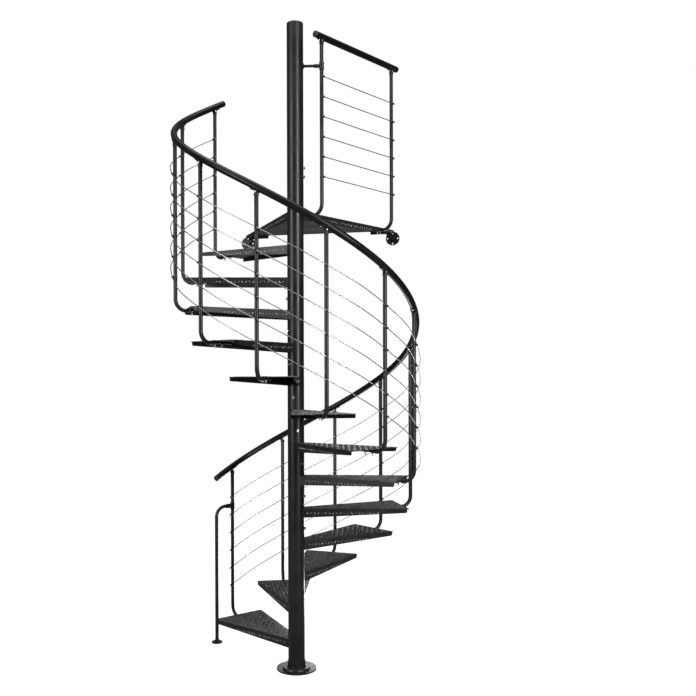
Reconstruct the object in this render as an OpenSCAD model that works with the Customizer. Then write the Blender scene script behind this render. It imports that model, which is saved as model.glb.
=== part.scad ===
// Spiral staircase with a central steel pole, folded chequer-plate treads, a landing plate,
// round tube balusters, a helical handrail and thin infill rods.
// Origin: centre of the base plate's underside, on the pole axis. +Z is up.
// The flight climbs clockwise seen from above.

/* [Flight] */
// Number of treads below the landing
tread_count = 13; // [8:1:13]
// Height from one tread to the next
rise = 215; // [180:1:260]
// Height of the first tread's top above the floor
first_rise = 194; // [170:1:260]
// Turn from one tread to the next, in degrees
turn_step = 29.1; // [24:0.1:31]
// Direction of the first tread, in degrees counterclockwise from +X
first_dir = 127.4; // [0:0.1:360]

/* [Pole] */
// Outer diameter of the pole
pole_d = 108; // [80:1:130]
// Wall thickness of the pole
pole_wall = 4; // [2:0.5:8]
// Height of the pole above the landing
pole_above_landing = 1224; // [1180:1:1500]
// Height of the domed cap on the pole
cap_dome_h = 9; // [4:1:20]
// Depth of the cap's plug inside the pole
cap_plug_h = 30; // [10:1:60]
// Drop from a tread's top to the locking screw below it
screw_drop = 136; // [100:1:150]
// Width across the corners of a locking screw's head
screw_head_d = 17; // [10:1:24]
// Height of a locking screw's head
screw_head_h = 10; // [5:1:15]

/* [Base plate] */
// Diameter of the base plate
base_d = 260; // [230:1:340]
// Thickness of the base plate
base_t = 10; // [6:1:20]
// Diameter of the raised boss on the base plate
boss_d = 184; // [150:1:195]
// Height of the raised boss
boss_h = 8; // [4:1:15]
// Height of the collar round the pole's foot, above the base plate
collar_h = 48; // [30:1:80]
// Wall thickness of the foot collar
collar_wall = 5; // [3:0.5:8]
// Diameter of the circle of floor bolts
base_pcd = 224; // [212:1:245]
// Diameter of a floor bolt hole
base_hole_d = 14; // [8:1:16]
// Number of floor bolts
base_holes = 4; // [3:1:8]

/* [Treads and landing] */
// Distance from the pole axis to a tread's straight outer edge
tread_reach = 712; // [560:1:860]
// Width of a tread along its outer edge
tread_w = 400; // [320:1:430]
// Width that the tread's side flanges converge to at the pole's axis
tread_root_w = 60; // [40:1:100]
// Thickness of the folded sheet
sheet_t = 3; // [2:0.5:5]
// Radius of the outer corners
corner_r = 12; // [6:1:30]
// Depth of the side flanges at the pole
flange_root = 62; // [45:1:90]
// Depth of the side flanges at the outer edge
flange_tip = 25; // [22:1:40]
// Radius of the lower corner where a side flange ends
flange_end_r = 11; // [4:1:16]
// Distance from the pole axis to the landing's far edge
landing_reach = 836; // [700:1:960]
// Width of the landing along its far edge
landing_w = 1150; // [940:1:1200]
// Turn from the last tread to the middle of the landing, in degrees
landing_turn = 59.6; // [56:0.1:64]

/* [Balusters] */
// Diameter of the baluster tubes
post_d = 25; // [20:1:32]
// Distance from a tread's outer edge out to its baluster
post_offset = 69; // [60:1:88]
// Radius of the bend at a baluster's foot, to the tube's centre line
foot_bend = 72; // [66:1:76]
// Height of a baluster's top above its tread
post_top = 1031; // [950:1:1150]
// Length of the flattened lug under the tread
lug_len = 140; // [100:1:180]
// Width of the flattened lug
lug_w = 34; // [26:1:44]
// Thickness of the flattened lug
lug_t = 8; // [5:0.5:10]

/* [Handrail] */
// Diameter of the handrail
rail_d = 42; // [34:1:50]
// Height of the handrail's centre line above the balusters' tops
rail_lift = 36; // [32:1:60]
// Part of a turn that the handrail runs on below the first baluster, in degrees
rail_lead = 11.1; // [4:0.1:14]
// Part of a turn that the handrail runs on above the last baluster, in degrees
rail_tail = 6.2; // [4:0.1:14]
// Length of a bracket's saddle under the handrail
saddle_len = 40; // [24:1:50]
// Thickness of a bracket's saddle
saddle_t = 3; // [2:0.5:5]

/* [Infill rods] */
// Diameter of an infill rod
rod_d = 6; // [4:0.5:8]
// Number of rods in each panel
rod_count = 6; // [3:1:7]
// Height of the lowest flight rod above a tread
rod_first = 195; // [150:1:250]
// Spacing between the flight rods
rod_pitch = 129; // [100:1:140]
// Distance from a baluster's axis out to the rods
rod_offset = 18; // [17:0.5:24]
// How far a rod bows out between two balusters
rod_bow = 8; // [0:1:30]
// Length of rod that runs past the end balusters
rod_stub = 16; // [10:1:30]
// Diameter of a rod clip
clip_d = 14; // [12:1:20]

/* [Start post] */
// Turn from the first baluster back to the start post, in degrees
start_turn = 10; // [8:0.1:14]
// Distance from the baluster circle out to the start post
start_offset = 8; // [0:1:20]
// Height of the start post's arm above the floor
start_arm_h = 974; // [800:1:1100]
// Radius of the bend at the start post's top
start_bend = 72; // [60:1:95]
// Diameter of the start post's foot
start_foot_d = 76; // [60:1:100]
// Thickness of the start post's foot
start_foot_t = 8; // [5:1:12]

/* [Landing guard] */
// Distance from the landing's edge out to the guard posts
guard_offset = 82; // [70:1:88]
// Distance along the edge from the pole to the inner guard post
guard_inner = 84; // [70:1:140]
// Distance along the edge from the outer guard post to the landing's corner
guard_end_inset = 156.8; // [70:0.1:220]
// Length of the flattened lug at a guard post's foot
guard_lug_len = 50; // [40:1:56]
// Height of the guard posts' tops above the landing
guard_post_top = 1104; // [1000:1:1200]
// Height of the guard rail's centre line above the guard posts' tops
guard_rail_lift = 34; // [32:1:60]
// Length that the guard rail runs past each post
guard_overhang = 66; // [40:1:120]
// Height of the lowest guard rod above the landing
guard_rod_first = 224; // [150:1:280]
// Spacing between the guard rods
guard_rod_pitch = 130; // [100:1:140]
// Height of the strut above the landing
strut_h = 948; // [900:1:1000]
// Diameter of the strut between the pole and the inner guard post
strut_d = 18; // [14:1:24]

/* [Floor-edge anchors] */
// Diameter of an anchor disc
anchor_d = 102; // [80:1:130]
// Thickness of an anchor disc
anchor_t = 6; // [4:1:10]
// Diameter of the circle of anchor holes
anchor_pcd = 76; // [60:1:84]
// Diameter of an anchor hole
anchor_hole_d = 11; // [6:1:12]
// Number of holes in an anchor disc
anchor_holes = 4; // [3:1:6]
// Distance from a corner of the landing in to an anchor's centre, along the far edge
anchor_inset = 22; // [0:1:60]
// Distance from the landing's top down to an anchor's centre
anchor_drop = 57; // [56:1:90]
// Distance from the landing's far edge out to an anchor's face
anchor_reach = 6; // [4:1:30]

/* [Fits] */
// Clearance round the pole and between seated pieces
seat_gap = 0.3; // [0.1:0.05:0.6]
// Wall thickness of the tee clamps
clamp_wall = 3; // [2:0.5:5]
// Length of a tee clamp's sleeves
clamp_len = 50; // [36:1:70]

/* [Hidden] */
$fn = 48;
overcut = 1;
pole_r = pole_d/2;
post_r = post_d/2;
rail_r = rail_d/2;
rod_r = rod_d/2;
hub_r = pole_r + seat_gap + sheet_t;
flange_end_steps = 4;
landing_top = first_rise + rise*tread_count;
landing_dir = first_dir - turn_step*(tread_count - 1) - landing_turn;
landing_edge_slope = atan((landing_w/2 - hub_r)/landing_reach);
pole_top = landing_top + pole_above_landing;
flight_turn = turn_step*(tread_count - 1);
// Distances from the pole axis to a baluster and to the start post
post_circle = tread_reach + post_offset;
start_circle = post_circle + start_offset;
// Heights of the rails' centre lines above a tread and above the landing
rail_height = post_top + rail_lift;
guard_rail_h = guard_post_top + guard_rail_lift;
// Distance along the landing's edge from the pole to the outer guard post
guard_outer = norm([landing_reach, landing_w/2 - hub_r]) - guard_end_inset;
// Slope of the handrail and the rods, in degrees
rail_slope = atan(rise/(post_circle*turn_step*PI/180));
// The tube's horizontal run lies just under the tread's sheet
run_drop = sheet_t + seat_gap + post_r;
// The crimp between the round run and the flattened lug
crimp_len = 20;
bolt_pad_t = run_drop - sheet_t - lug_t/2 - seat_gap;
// Rings along the handrail and along one bay of a rod
rail_ring_step = 3.1;
rail_sides = 24;
rail_round = 5;
rod_sides = 8;
rod_rings = 6;
// Half the gap between two lengths of rod, inside a clip
rod_joint_gap = 0.6;
rosette_d = 34;
rosette_t = 5;
anchor_plate_t = 6;
// The anchor's angle bar lies under the sheet, set back from the far edge
anchor_setback = 14;
anchor_leg = 30;
anchor_strip_h = 22;
anchor_strip_len = 110;
anchor_hub_d = 30;
anchor_neck_w = 24;

function two_digits(k) = k < 10 ? str("0", k) : str(k);
function tread_dir(k) = first_dir - turn_step*(k - 1);
function tread_top(k) = first_rise + rise*(k - 1);
tread_names = [for (k = [1:tread_count]) str("tread_", two_digits(k))];
post_names = [for (k = [1:tread_count]) str("baluster_", two_digits(k))];

// ---- Frames -------------------------------------------------------------------------------

// Frame of tread k: +X runs out along the tread, Z = 0 is its top
module at_tread(k) {
    rotate([0, 0, tread_dir(k)]) translate([0, 0, tread_top(k)]) children();
}

// Frame of the landing: +X runs out to its far edge, Z = 0 is its top
module at_landing() {
    rotate([0, 0, landing_dir]) translate([0, 0, landing_top]) children();
}

// Frame at a distance along the landing's guarded edge: +X points out across the edge
module at_guard(along) {
    at_landing() translate([0, -hub_r, 0]) rotate([0, 0, -landing_edge_slope])
        translate([along, 0, 0]) rotate([0, 0, -90]) children();
}

// ---- Swept rods ---------------------------------------------------------------------------

function unit(v) = v/norm(v);
// Point of a helix round the pole, a degrees on from the first baluster
function helix_point(radius, height, a) = [
    radius*cos(first_dir - a), radius*sin(first_dir - a),
    first_rise + height + rise*a/turn_step];
// Rods bow out between balusters and run true at each clip
function rod_circle(a) = post_circle + rod_offset
    + (a < 0 || a > flight_turn ? 0 : rod_bow*(1 - cos(360*a/turn_step))/2);
function rod_point(height, a) = helix_point(rod_circle(a), height, a);
function rail_point(a) = helix_point(post_circle, rail_height, a);
// One ring of a swept tube round point p with tangent t
function ring(p, t, radius, sides) =
    let (across = unit(cross(t, [0, 0, 1])), upward = cross(across, t))
    [for (j = [0:sides - 1]) p + radius*(cos(360*j/sides)*across + sin(360*j/sides)*upward)];

// Closed tube through rings of points
module skin(rings) {
    sides = len(rings[0]);
    last = len(rings) - 1;
    points = [for (r = rings) each r];
    walls = [for (i = [0:last - 1]) for (j = [0:sides - 1])
        let (a = i*sides + j, b = i*sides + (j + 1)%sides, c = b + sides, d = a + sides)
        each [[a, b, c], [a, c, d]]];
    start = [for (j = [sides - 1:-1:0]) j];
    end = [for (j = [0:sides - 1]) last*sides + j];
    polyhedron(points = points, faces = concat(walls, [start, end]));
}

// ---- Pole ---------------------------------------------------------------------------------

module base_plate() {
    boss_bevel = 4;
    color([0.10, 0.10, 0.11]) difference() {
        union() {
            cylinder(d = base_d, h = base_t);
            translate([0, 0, base_t]) cylinder(d1 = boss_d, d2 = boss_d - 2*boss_bevel, h = boss_h);
            translate([0, 0, base_t]) cylinder(r = pole_r + seat_gap + collar_wall, h = collar_h);
        }
        translate([0, 0, base_t])
            cylinder(r = pole_r + seat_gap, h = collar_h + overcut);
        for (i = [0:base_holes - 1]) rotate([0, 0, 45 + 360*i/base_holes])
            translate([base_pcd/2, 0, -overcut]) cylinder(d = base_hole_d, h = base_t + 2*overcut);
    }
}

module pole_tube() {
    color([0.10, 0.10, 0.11]) translate([0, 0, base_t]) difference() {
        cylinder(r = pole_r, h = pole_top - base_t);
        translate([0, 0, -overcut])
            cylinder(r = pole_r - pole_wall, h = pole_top - base_t + 2*overcut);
    }
}

module pole_cap() {
    dome_r = (pole_r*pole_r + cap_dome_h*cap_dome_h)/(2*cap_dome_h);
    color([0.08, 0.08, 0.09]) translate([0, 0, pole_top]) {
        intersection() {
            cylinder(r = pole_r, h = cap_dome_h);
            translate([0, 0, cap_dome_h - dome_r]) sphere(r = dome_r, $fn = 96);
        }
        translate([0, 0, -cap_plug_h])
            cylinder(r = pole_r - pole_wall - seat_gap, h = cap_plug_h);
    }
}

// Hexagon screw head with its washer, on the pole's face
module pole_screw() {
    washer_t = 2;
    translate([pole_r + seat_gap, 0, 0]) rotate([0, 90, 0]) {
        cylinder(d = screw_head_d + 3, h = washer_t);
        cylinder(d = screw_head_d, h = screw_head_h, $fn = 6);
    }
}

module pole_screws() {
    landing_screws = [227, 285];
    color([0.45, 0.45, 0.47]) {
        for (k = [2:tread_count]) at_tread(k) translate([0, 0, -screw_drop]) pole_screw();
        for (h = landing_screws) translate([0, 0, landing_top + h]) pole_screw();
    }
}

// ---- Folded plates: treads and landing ----------------------------------------------------

// Outline of a plate that widens from the pole to a straight outer edge with round corners
module plate_outline(reach, half_w, root) {
    slope = atan((half_w - root)/reach);
    cx = reach - corner_r;
    cy = root + tan(slope)*cx - corner_r/cos(slope);
    side = [cx - sin(slope)*corner_r, cy + cos(slope)*corner_r];
    polygon([[0, -root], [side[0], -side[1]], [reach, -cy], [reach, cy], side, [0, root]]);
    for (s = [-1, 1]) translate([cx, s*cy]) circle(r = corner_r);
}

// Side view of a folded plate: the sheet, and the flange that ends in a round corner
module plate_profile(reach, flange_end) {
    fall = atan((flange_root - flange_tip)/reach);
    cx = flange_end - flange_end_r;
    cz = tan(fall)*cx - flange_root + flange_end_r/cos(fall);
    translate([-overcut, -sheet_t]) square([reach + 2*overcut, sheet_t]);
    turn = (90 - fall)/flange_end_steps;
    polygon(concat([[-overcut, 0], [flange_end, 0]],
                   [for (i = [0:flange_end_steps]) [cx + flange_end_r*cos(i*turn),
                                                    cz - flange_end_r*sin(i*turn)]],
                   [[0, -flange_root], [-overcut, -flange_root]]));
}

// Sheet with its two slanting edges folded down, open at its outer edge; the flanges get
// shallower away from the pole, and a half round seat hugs the pole
module folded_plate(reach, half_w, root) {
    slope = atan((half_w - root)/reach);
    // The flange stops just short of where the sheet's round corner starts
    flange_end = reach - corner_r*(1 + sin(slope)) - sheet_t/2;
    inner_root = root - sheet_t/cos(slope);
    far = reach + overcut;
    inner_far = inner_root + tan(slope)*far;
    difference() {
        intersection() {
            translate([0, 0, -flange_root]) linear_extrude(flange_root)
                plate_outline(reach, half_w, root);
            translate([0, half_w + overcut, 0]) rotate([90, 0, 0])
                linear_extrude(2*half_w + 2*overcut) plate_profile(reach, flange_end);
        }
        translate([0, 0, -flange_root - overcut]) linear_extrude(flange_root + overcut - sheet_t)
            difference() {
                polygon([[0, -inner_root], [far, -inner_far], [far, inner_far], [0, inner_root]]);
                circle(r = hub_r);
            }
        translate([0, 0, -flange_root - overcut])
            cylinder(r = pole_r + seat_gap, h = flange_root + 2*overcut);
    }
}

// Way for a baluster's run through the flange, open at the bottom; +X points out across the edge
module run_notch(inside) {
    notch_r = post_r + seat_gap;
    translate([-inside, 0, -run_drop]) rotate([0, 90, 0])
        cylinder(r = notch_r, h = inside + overcut);
    translate([-inside, -notch_r, -run_drop - flange_root])
        cube([inside + overcut, 2*notch_r, flange_root]);
}

// Bar welded into the underside of the sheet, which a flattened lug is bolted against
module bolt_pad(start, length) {
    weld = sheet_t/2;
    translate([start - length, -lug_w/2, -sheet_t - bolt_pad_t])
        cube([length, lug_w, bolt_pad_t + weld]);
}

module tread(k) {
    lug_root = post_offset - foot_bend - crimp_len;
    color([0.17, 0.17, 0.18]) at_tread(k) {
        folded_plate(tread_reach, tread_w/2, tread_root_w/2);
        translate([tread_reach, 0, 0]) bolt_pad(lug_root, lug_len);
    }
}

module landing_plate() {
    notch_depth = 12;
    lug_root = guard_offset - foot_bend - crimp_len;
    color([0.17, 0.17, 0.18]) {
        difference() {
            at_landing() folded_plate(landing_reach, landing_w/2, hub_r);
            at_guard(guard_inner) run_notch(notch_depth);
            at_guard(guard_outer) run_notch(notch_depth);
        }
        at_guard(guard_inner) bolt_pad(lug_root, guard_lug_len);
        at_guard(guard_outer) bolt_pad(lug_root, guard_lug_len);
    }
}

// ---- Balusters ----------------------------------------------------------------------------

// Upright tube that bends in at its foot to a flattened lug; +X points out across the edge
module bent_post(offset, top, lug) {
    bend_x = offset - foot_bend;
    lug_root = bend_x - crimp_len;
    translate([offset, 0, foot_bend - run_drop])
        cylinder(r = post_r, h = top - foot_bend + run_drop);
    translate([bend_x, 0, foot_bend - run_drop]) rotate([90, 0, 0]) rotate([0, 0, -90])
        rotate_extrude(angle = 90) translate([foot_bend, 0]) circle(r = post_r);
    intersection() {
        translate([lug_root, 0, -run_drop]) rotate([0, 90, 0])
            cylinder(r = post_r, h = crimp_len);
        translate([0, post_r, -run_drop]) rotate([90, 0, 0]) linear_extrude(post_d)
            polygon([[lug_root, -lug_t/2], [bend_x, -post_r], [bend_x, post_r],
                     [lug_root, lug_t/2]]);
    }
    translate([lug_root - lug + lug_w/2, -lug_w/2, -run_drop - lug_t/2])
        cube([lug - lug_w/2, lug_w, lug_t]);
    translate([lug_root - lug + lug_w/2, 0, -run_drop - lug_t/2])
        cylinder(d = lug_w, h = lug_t);
}

module baluster(k) {
    color([0.12, 0.12, 0.13]) at_tread(k) translate([tread_reach, 0, 0])
        bent_post(post_offset, post_top, lug_len);
}

// ---- Handrail -----------------------------------------------------------------------------

module handrail() {
    rings = ceil((flight_turn + rail_lead + rail_tail)/rail_ring_step);
    turn = (flight_turn + rail_lead + rail_tail)/rings;
    function tangent(a) = unit(rail_point(a + 0.5) - rail_point(a - 0.5));
    // The ends are rounded over by rail_round
    end_turn = rail_round/post_circle*180/PI;
    start_a = -rail_lead;
    end_a = flight_turn + rail_tail;
    function round_r(s) = rail_r - rail_round*(1 - sqrt(1 - (1 - s)*(1 - s)));
    round_steps = [0, 0.35, 0.7];
    color([0.05, 0.05, 0.05]) skin(concat(
        [for (s = round_steps) let (a = start_a + end_turn*s)
            ring(rail_point(a), tangent(a), round_r(s), rail_sides)],
        [for (i = [0:rings]) let (a = start_a + end_turn + (turn - 2*end_turn/rings)*i)
            ring(rail_point(a), tangent(a), rail_r, rail_sides)],
        [for (i = [len(round_steps) - 1:-1:0]) let (s = round_steps[i], a = end_a - end_turn*s)
            ring(rail_point(a), tangent(a), round_r(s), rail_sides)]));
}

// Saddle plate under a rail, with its stem on top of a post. The rail's centre line is
// `height` above the post's top, and climbs by `slope` degrees towards -Y
module rail_bracket(height, slope) {
    saddle_r = rail_r + 2*seat_gap;
    saddle_angle = 100;
    stem_d = 13;
    base_h = 4;
    difference() {
        union() {
            cylinder(r = post_r, h = base_h);
            cylinder(d = stem_d, h = height - rail_r/2);
        }
        translate([0, 0, height]) rotate([90 - slope, 0, 0])
            cylinder(r = saddle_r + saddle_t/2, h = 4*rail_d, center = true);
    }
    translate([0, 0, height]) rotate([90 - slope, 0, 0]) rotate([0, 0, -90 - saddle_angle/2])
        rotate_extrude(angle = saddle_angle)
        translate([saddle_r, -saddle_len/2]) square([saddle_t, saddle_len]);
}

module rail_brackets() {
    color([0.13, 0.13, 0.14]) {
        for (k = [1:tread_count]) at_tread(k) translate([post_circle, 0, post_top])
            rail_bracket(rail_lift, rail_slope);
        for (along = [guard_inner, guard_outer]) at_guard(along)
            translate([guard_offset, 0, guard_post_top])
            rail_bracket(guard_rail_lift, 0);
    }
}

// ---- Infill rods --------------------------------------------------------------------------

// One length of rod between balusters k and k + 1
module rod_bay(height, k) {
    gap_turn = rod_joint_gap/(post_circle + rod_offset)*180/PI;
    stub_turn = rod_stub/(post_circle + rod_offset)*180/PI;
    first_a = (k - 1)*turn_step + (k == 1 ? 0 : gap_turn);
    last_a = k*turn_step - (k == tread_count - 1 ? 0 : gap_turn);
    angles = concat(
        k == 1 ? [-stub_turn] : [],
        [for (i = [0:rod_rings]) first_a + (last_a - first_a)*i/rod_rings],
        k == tread_count - 1 ? [flight_turn + stub_turn] : []);
    function tangent(a) = unit(rod_point(height, a + 0.5) - rod_point(height, a - 0.5));
    skin([for (a = angles) ring(rod_point(height, a), tangent(a), rod_r, rod_sides)]);
}

module infill_rods() {
    color([0.62, 0.63, 0.65])
        for (i = [0:rod_count - 1]) for (k = [1:tread_count - 1])
            rod_bay(rod_first + i*rod_pitch, k);
}

// Clip that holds a rod off the outside of a post; the rod climbs by `slope` towards -Y
module rod_clip(slope) {
    difference() {
        rotate([0, 90, 0]) cylinder(d = clip_d, h = rod_offset + rod_r + 3);
        cylinder(r = post_r + seat_gap, h = 2*clip_d, center = true);
        translate([rod_offset, 0, 0]) rotate([90 - slope, 0, 0])
            cylinder(r = rod_r + seat_gap, h = 2*clip_d, center = true);
    }
}

module rod_clips() {
    color([0.12, 0.12, 0.13]) {
        for (k = [1:tread_count]) for (i = [0:rod_count - 1]) at_tread(k)
            translate([post_circle, 0, rod_first + i*rod_pitch]) rod_clip(rail_slope);
        for (along = [guard_inner, guard_outer]) for (i = [0:rod_count - 1]) at_guard(along)
            translate([guard_offset, 0, guard_rod_first + i*guard_rod_pitch]) rod_clip(0);
    }
}

// ---- Start post ---------------------------------------------------------------------------

start_xy = start_circle*[cos(first_dir + start_turn), sin(first_dir + start_turn)];
first_post_xy = post_circle*[cos(first_dir), sin(first_dir)];
start_arm = first_post_xy - start_xy;
start_arm_dir = atan2(start_arm[1], start_arm[0]);

// Frame of the start post: +X points from it to the first baluster
module at_start() {
    translate([start_xy[0], start_xy[1], 0]) rotate([0, 0, start_arm_dir]) children();
}

module start_post() {
    color([0.12, 0.12, 0.13]) at_start() {
        translate([0, 0, start_foot_t])
            cylinder(r = post_r, h = start_arm_h - start_bend - start_foot_t);
        translate([start_bend, 0, start_arm_h - start_bend]) rotate([90, 0, 0])
            rotate([0, 0, 90]) rotate_extrude(angle = 90)
            translate([start_bend, 0]) circle(r = post_r);
        translate([start_bend, 0, start_arm_h]) rotate([0, 90, 0])
            cylinder(r = post_r, h = norm(start_arm) - start_bend - post_r - clamp_wall
                - 2*seat_gap);
    }
}

module start_foot() {
    foot_collar_h = 14;
    color([0.12, 0.12, 0.13]) at_start() {
        cylinder(d = start_foot_d, h = start_foot_t);
        difference() {
            cylinder(r = post_r + seat_gap + clamp_wall, h = start_foot_t + foot_collar_h);
            translate([0, 0, start_foot_t])
                cylinder(r = post_r + seat_gap, h = foot_collar_h + overcut);
        }
    }
}

// ---- Landing guard ------------------------------------------------------------------------

module guard_post(along) {
    color([0.12, 0.12, 0.13]) at_guard(along)
        bent_post(guard_offset, guard_post_top, guard_lug_len);
}

module guard_handrail() {
    length = guard_outer - guard_inner + 2*guard_overhang;
    color([0.05, 0.05, 0.05]) at_guard(guard_inner - guard_overhang)
        translate([guard_offset, 0, guard_rail_h]) rotate([-90, 0, 0]) rotate_extrude()
        union() {
            square([rail_r - rail_round, length]);
            translate([0, rail_round]) square([rail_r, length - 2*rail_round]);
            for (y = [rail_round, length - rail_round])
                translate([rail_r - rail_round, y]) circle(r = rail_round);
        }
}

module guard_rods() {
    color([0.62, 0.63, 0.65]) for (i = [0:rod_count - 1]) at_guard(guard_inner - rod_stub)
        translate([guard_offset + rod_offset, 0, guard_rod_first + i*guard_rod_pitch])
        rotate([-90, 0, 0]) cylinder(r = rod_r, h = guard_outer - guard_inner + 2*rod_stub);
}

// The strut runs level from the pole to the inner guard post
guard_slope_dir = landing_dir - landing_edge_slope;
landing_root_xy = hub_r*[sin(landing_dir), -cos(landing_dir)];
inner_post_xy = landing_root_xy + guard_inner*[cos(guard_slope_dir), sin(guard_slope_dir)]
    + guard_offset*[sin(guard_slope_dir), -cos(guard_slope_dir)];
strut_reach = norm(inner_post_xy);
strut_dir = atan2(inner_post_xy[1], inner_post_xy[0]);

module at_strut() {
    rotate([0, 0, strut_dir]) translate([0, 0, landing_top + strut_h]) children();
}

module guard_strut() {
    color([0.12, 0.12, 0.13]) at_strut() difference() {
        union() {
            rotate([0, 90, 0]) cylinder(d = strut_d, h = strut_reach - post_r - seat_gap
                - clamp_wall - seat_gap);
            rotate([0, 90, 0]) cylinder(d = rosette_d, h = pole_r + seat_gap + rosette_t);
        }
        cylinder(r = pole_r + seat_gap, h = 2*rosette_d, center = true);
    }
}

// Clamp with one sleeve round an upright post at the origin and one round a bar from -X
module tee_clamp(bar_r) {
    post_hole_r = post_r + seat_gap;
    bar_hole_r = bar_r + seat_gap;
    bar_sleeve = clamp_len - post_r;
    difference() {
        union() {
            translate([0, 0, -clamp_len/2])
                cylinder(r = post_hole_r + clamp_wall, h = clamp_len);
            translate([-post_r - bar_sleeve, 0, 0]) rotate([0, 90, 0])
                cylinder(r = bar_hole_r + clamp_wall, h = post_r + bar_sleeve);
        }
        cylinder(r = post_hole_r, h = clamp_len + 2*overcut, center = true);
        translate([-clamp_len - overcut, 0, 0]) rotate([0, 90, 0])
            cylinder(r = bar_hole_r, h = clamp_len + overcut - post_hole_r - clamp_wall);
    }
}

module tee_clamps() {
    color([0.14, 0.14, 0.15]) {
        at_start() translate([norm(start_arm), 0, start_arm_h]) tee_clamp(post_r);
        at_strut() translate([strut_reach, 0, 0]) tee_clamp(strut_d/2);
    }
}

// ---- Floor-edge anchors -------------------------------------------------------------------

// Angle bar under the landing's far edge that carries a round wall disc. `centre` is the
// disc's place along the far edge, and `side` is the sign of that place
module anchor(centre, side) {
    bar_top = -sheet_t - seat_gap;
    bar_mid = bar_top - anchor_strip_h/2;
    plate_x = landing_reach - anchor_setback;
    disc_x = landing_reach + anchor_reach - anchor_t;
    // The neck slants up and inwards from the hub, between two of the disc's holes
    neck_run = anchor_drop + bar_mid;
    bar_len = anchor_strip_len + anchor_strip_h;
    bar_y = centre - side*(neck_run + anchor_strip_len/2);
    color([0.13, 0.13, 0.14]) at_landing() {
        translate([plate_x, 0, 0]) rotate([90, 0, 90]) linear_extrude(anchor_plate_t) {
            translate([bar_y, bar_mid]) square([bar_len, anchor_strip_h], center = true);
            translate([centre, -anchor_drop]) rotate(90 + 45*side) translate([0, -anchor_neck_w/2])
                square([neck_run*sqrt(2), anchor_neck_w]);
            translate([centre, -anchor_drop]) circle(d = anchor_hub_d);
        }
        translate([plate_x - anchor_leg, bar_y - bar_len/2, bar_top - anchor_plate_t])
            cube([anchor_leg + anchor_plate_t/2, bar_len, anchor_plate_t]);
        translate([plate_x, centre, -anchor_drop]) rotate([0, 90, 0])
            cylinder(d = anchor_hub_d, h = disc_x - plate_x + anchor_t/2);
        translate([disc_x, centre, -anchor_drop]) rotate([0, 90, 0]) difference() {
            cylinder(d = anchor_d, h = anchor_t);
            for (i = [0:anchor_holes - 1]) rotate([0, 0, 360*i/anchor_holes])
                translate([anchor_pcd/2, 0, -overcut])
                cylinder(d = anchor_hole_d, h = anchor_t + 2*overcut);
        }
    }
}

// ---- The pieces ---------------------------------------------------------------------------

base_plate();
pole_tube();
pole_cap();
pole_screws();
for (k = [1:tread_count]) {
    tread(k);
    baluster(k);
}
handrail();
rail_brackets();
infill_rods();
rod_clips();
start_post();
start_foot();
landing_plate();
guard_post(guard_inner);  // guard_post_inner
guard_post(guard_outer);  // guard_post_outer
guard_handrail();
guard_rods();
guard_strut();
tee_clamps();
anchor(landing_w/2 - anchor_inset, 1);  // anchor_left
anchor(anchor_inset - landing_w/2, -1);  // anchor_right
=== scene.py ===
"""Dresses the spiral staircase: coats, chequer studs, rails, rods, brackets and fasteners."""
import logging
import math
from dataclasses import dataclass, field
from enum import Enum
from typing import Any, Callable, Iterable, Sequence

import bmesh
import bpy
from mathutils import Matrix, Vector


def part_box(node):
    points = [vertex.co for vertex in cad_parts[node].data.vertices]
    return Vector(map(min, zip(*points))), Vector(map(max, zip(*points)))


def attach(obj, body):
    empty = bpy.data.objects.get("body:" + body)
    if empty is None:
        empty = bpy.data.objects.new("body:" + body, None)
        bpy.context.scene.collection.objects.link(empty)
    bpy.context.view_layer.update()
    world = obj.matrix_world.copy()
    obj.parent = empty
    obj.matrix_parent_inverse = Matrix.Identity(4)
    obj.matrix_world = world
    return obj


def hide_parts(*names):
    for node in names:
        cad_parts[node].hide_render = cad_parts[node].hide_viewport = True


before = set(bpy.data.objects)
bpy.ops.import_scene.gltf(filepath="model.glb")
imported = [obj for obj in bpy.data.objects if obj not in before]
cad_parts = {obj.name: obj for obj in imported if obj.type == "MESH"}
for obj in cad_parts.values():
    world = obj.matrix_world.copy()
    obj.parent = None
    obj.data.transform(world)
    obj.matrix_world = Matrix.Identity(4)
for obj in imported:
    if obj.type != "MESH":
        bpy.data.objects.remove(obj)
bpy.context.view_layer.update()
LOG = logging.getLogger("staircase")
MM = 0.001
BODY = "root"
BAR_EDGE = 40.0
Ring = list[Vector]


class Slot(str, Enum):
    """The finishes that the staircase is made in."""

    COAT = "black_coat"
    PLATE = "chequer_plate"
    RAIL = "rail_cover"
    CAP = "cap_plastic"
    ROD = "rod_steel"
    BOLT = "bolt_steel"


class Side(int, Enum):
    """The two slanting edges of a plate, seen from the pole."""

    LEFT = 1
    RIGHT = -1


# ---- Places -------------------------------------------------------------------------------


def moved(x: float = 0.0, y: float = 0.0, z: float = 0.0) -> Matrix:
    """Matrix that moves by x, y, z."""
    return Matrix.Translation((x, y, z))


def turned(degrees: float, axis: str = "Z") -> Matrix:
    """Matrix that turns by an angle about an axis."""
    return Matrix.Rotation(math.radians(degrees), 4, axis)


@dataclass(frozen=True)
class Sheet:
    """A folded plate seen from above: it widens from the pole to its far edge."""

    reach: float
    half_w: float
    root: float

    @property
    def slope(self) -> float:
        """Angle between the centre line and a slanting edge, in radians."""
        return math.atan2(self.half_w - self.root, self.reach)

    @property
    def edge(self) -> float:
        """Length of a slanting edge, up to its sharp corner."""
        return math.hypot(self.reach, self.half_w - self.root)


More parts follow.
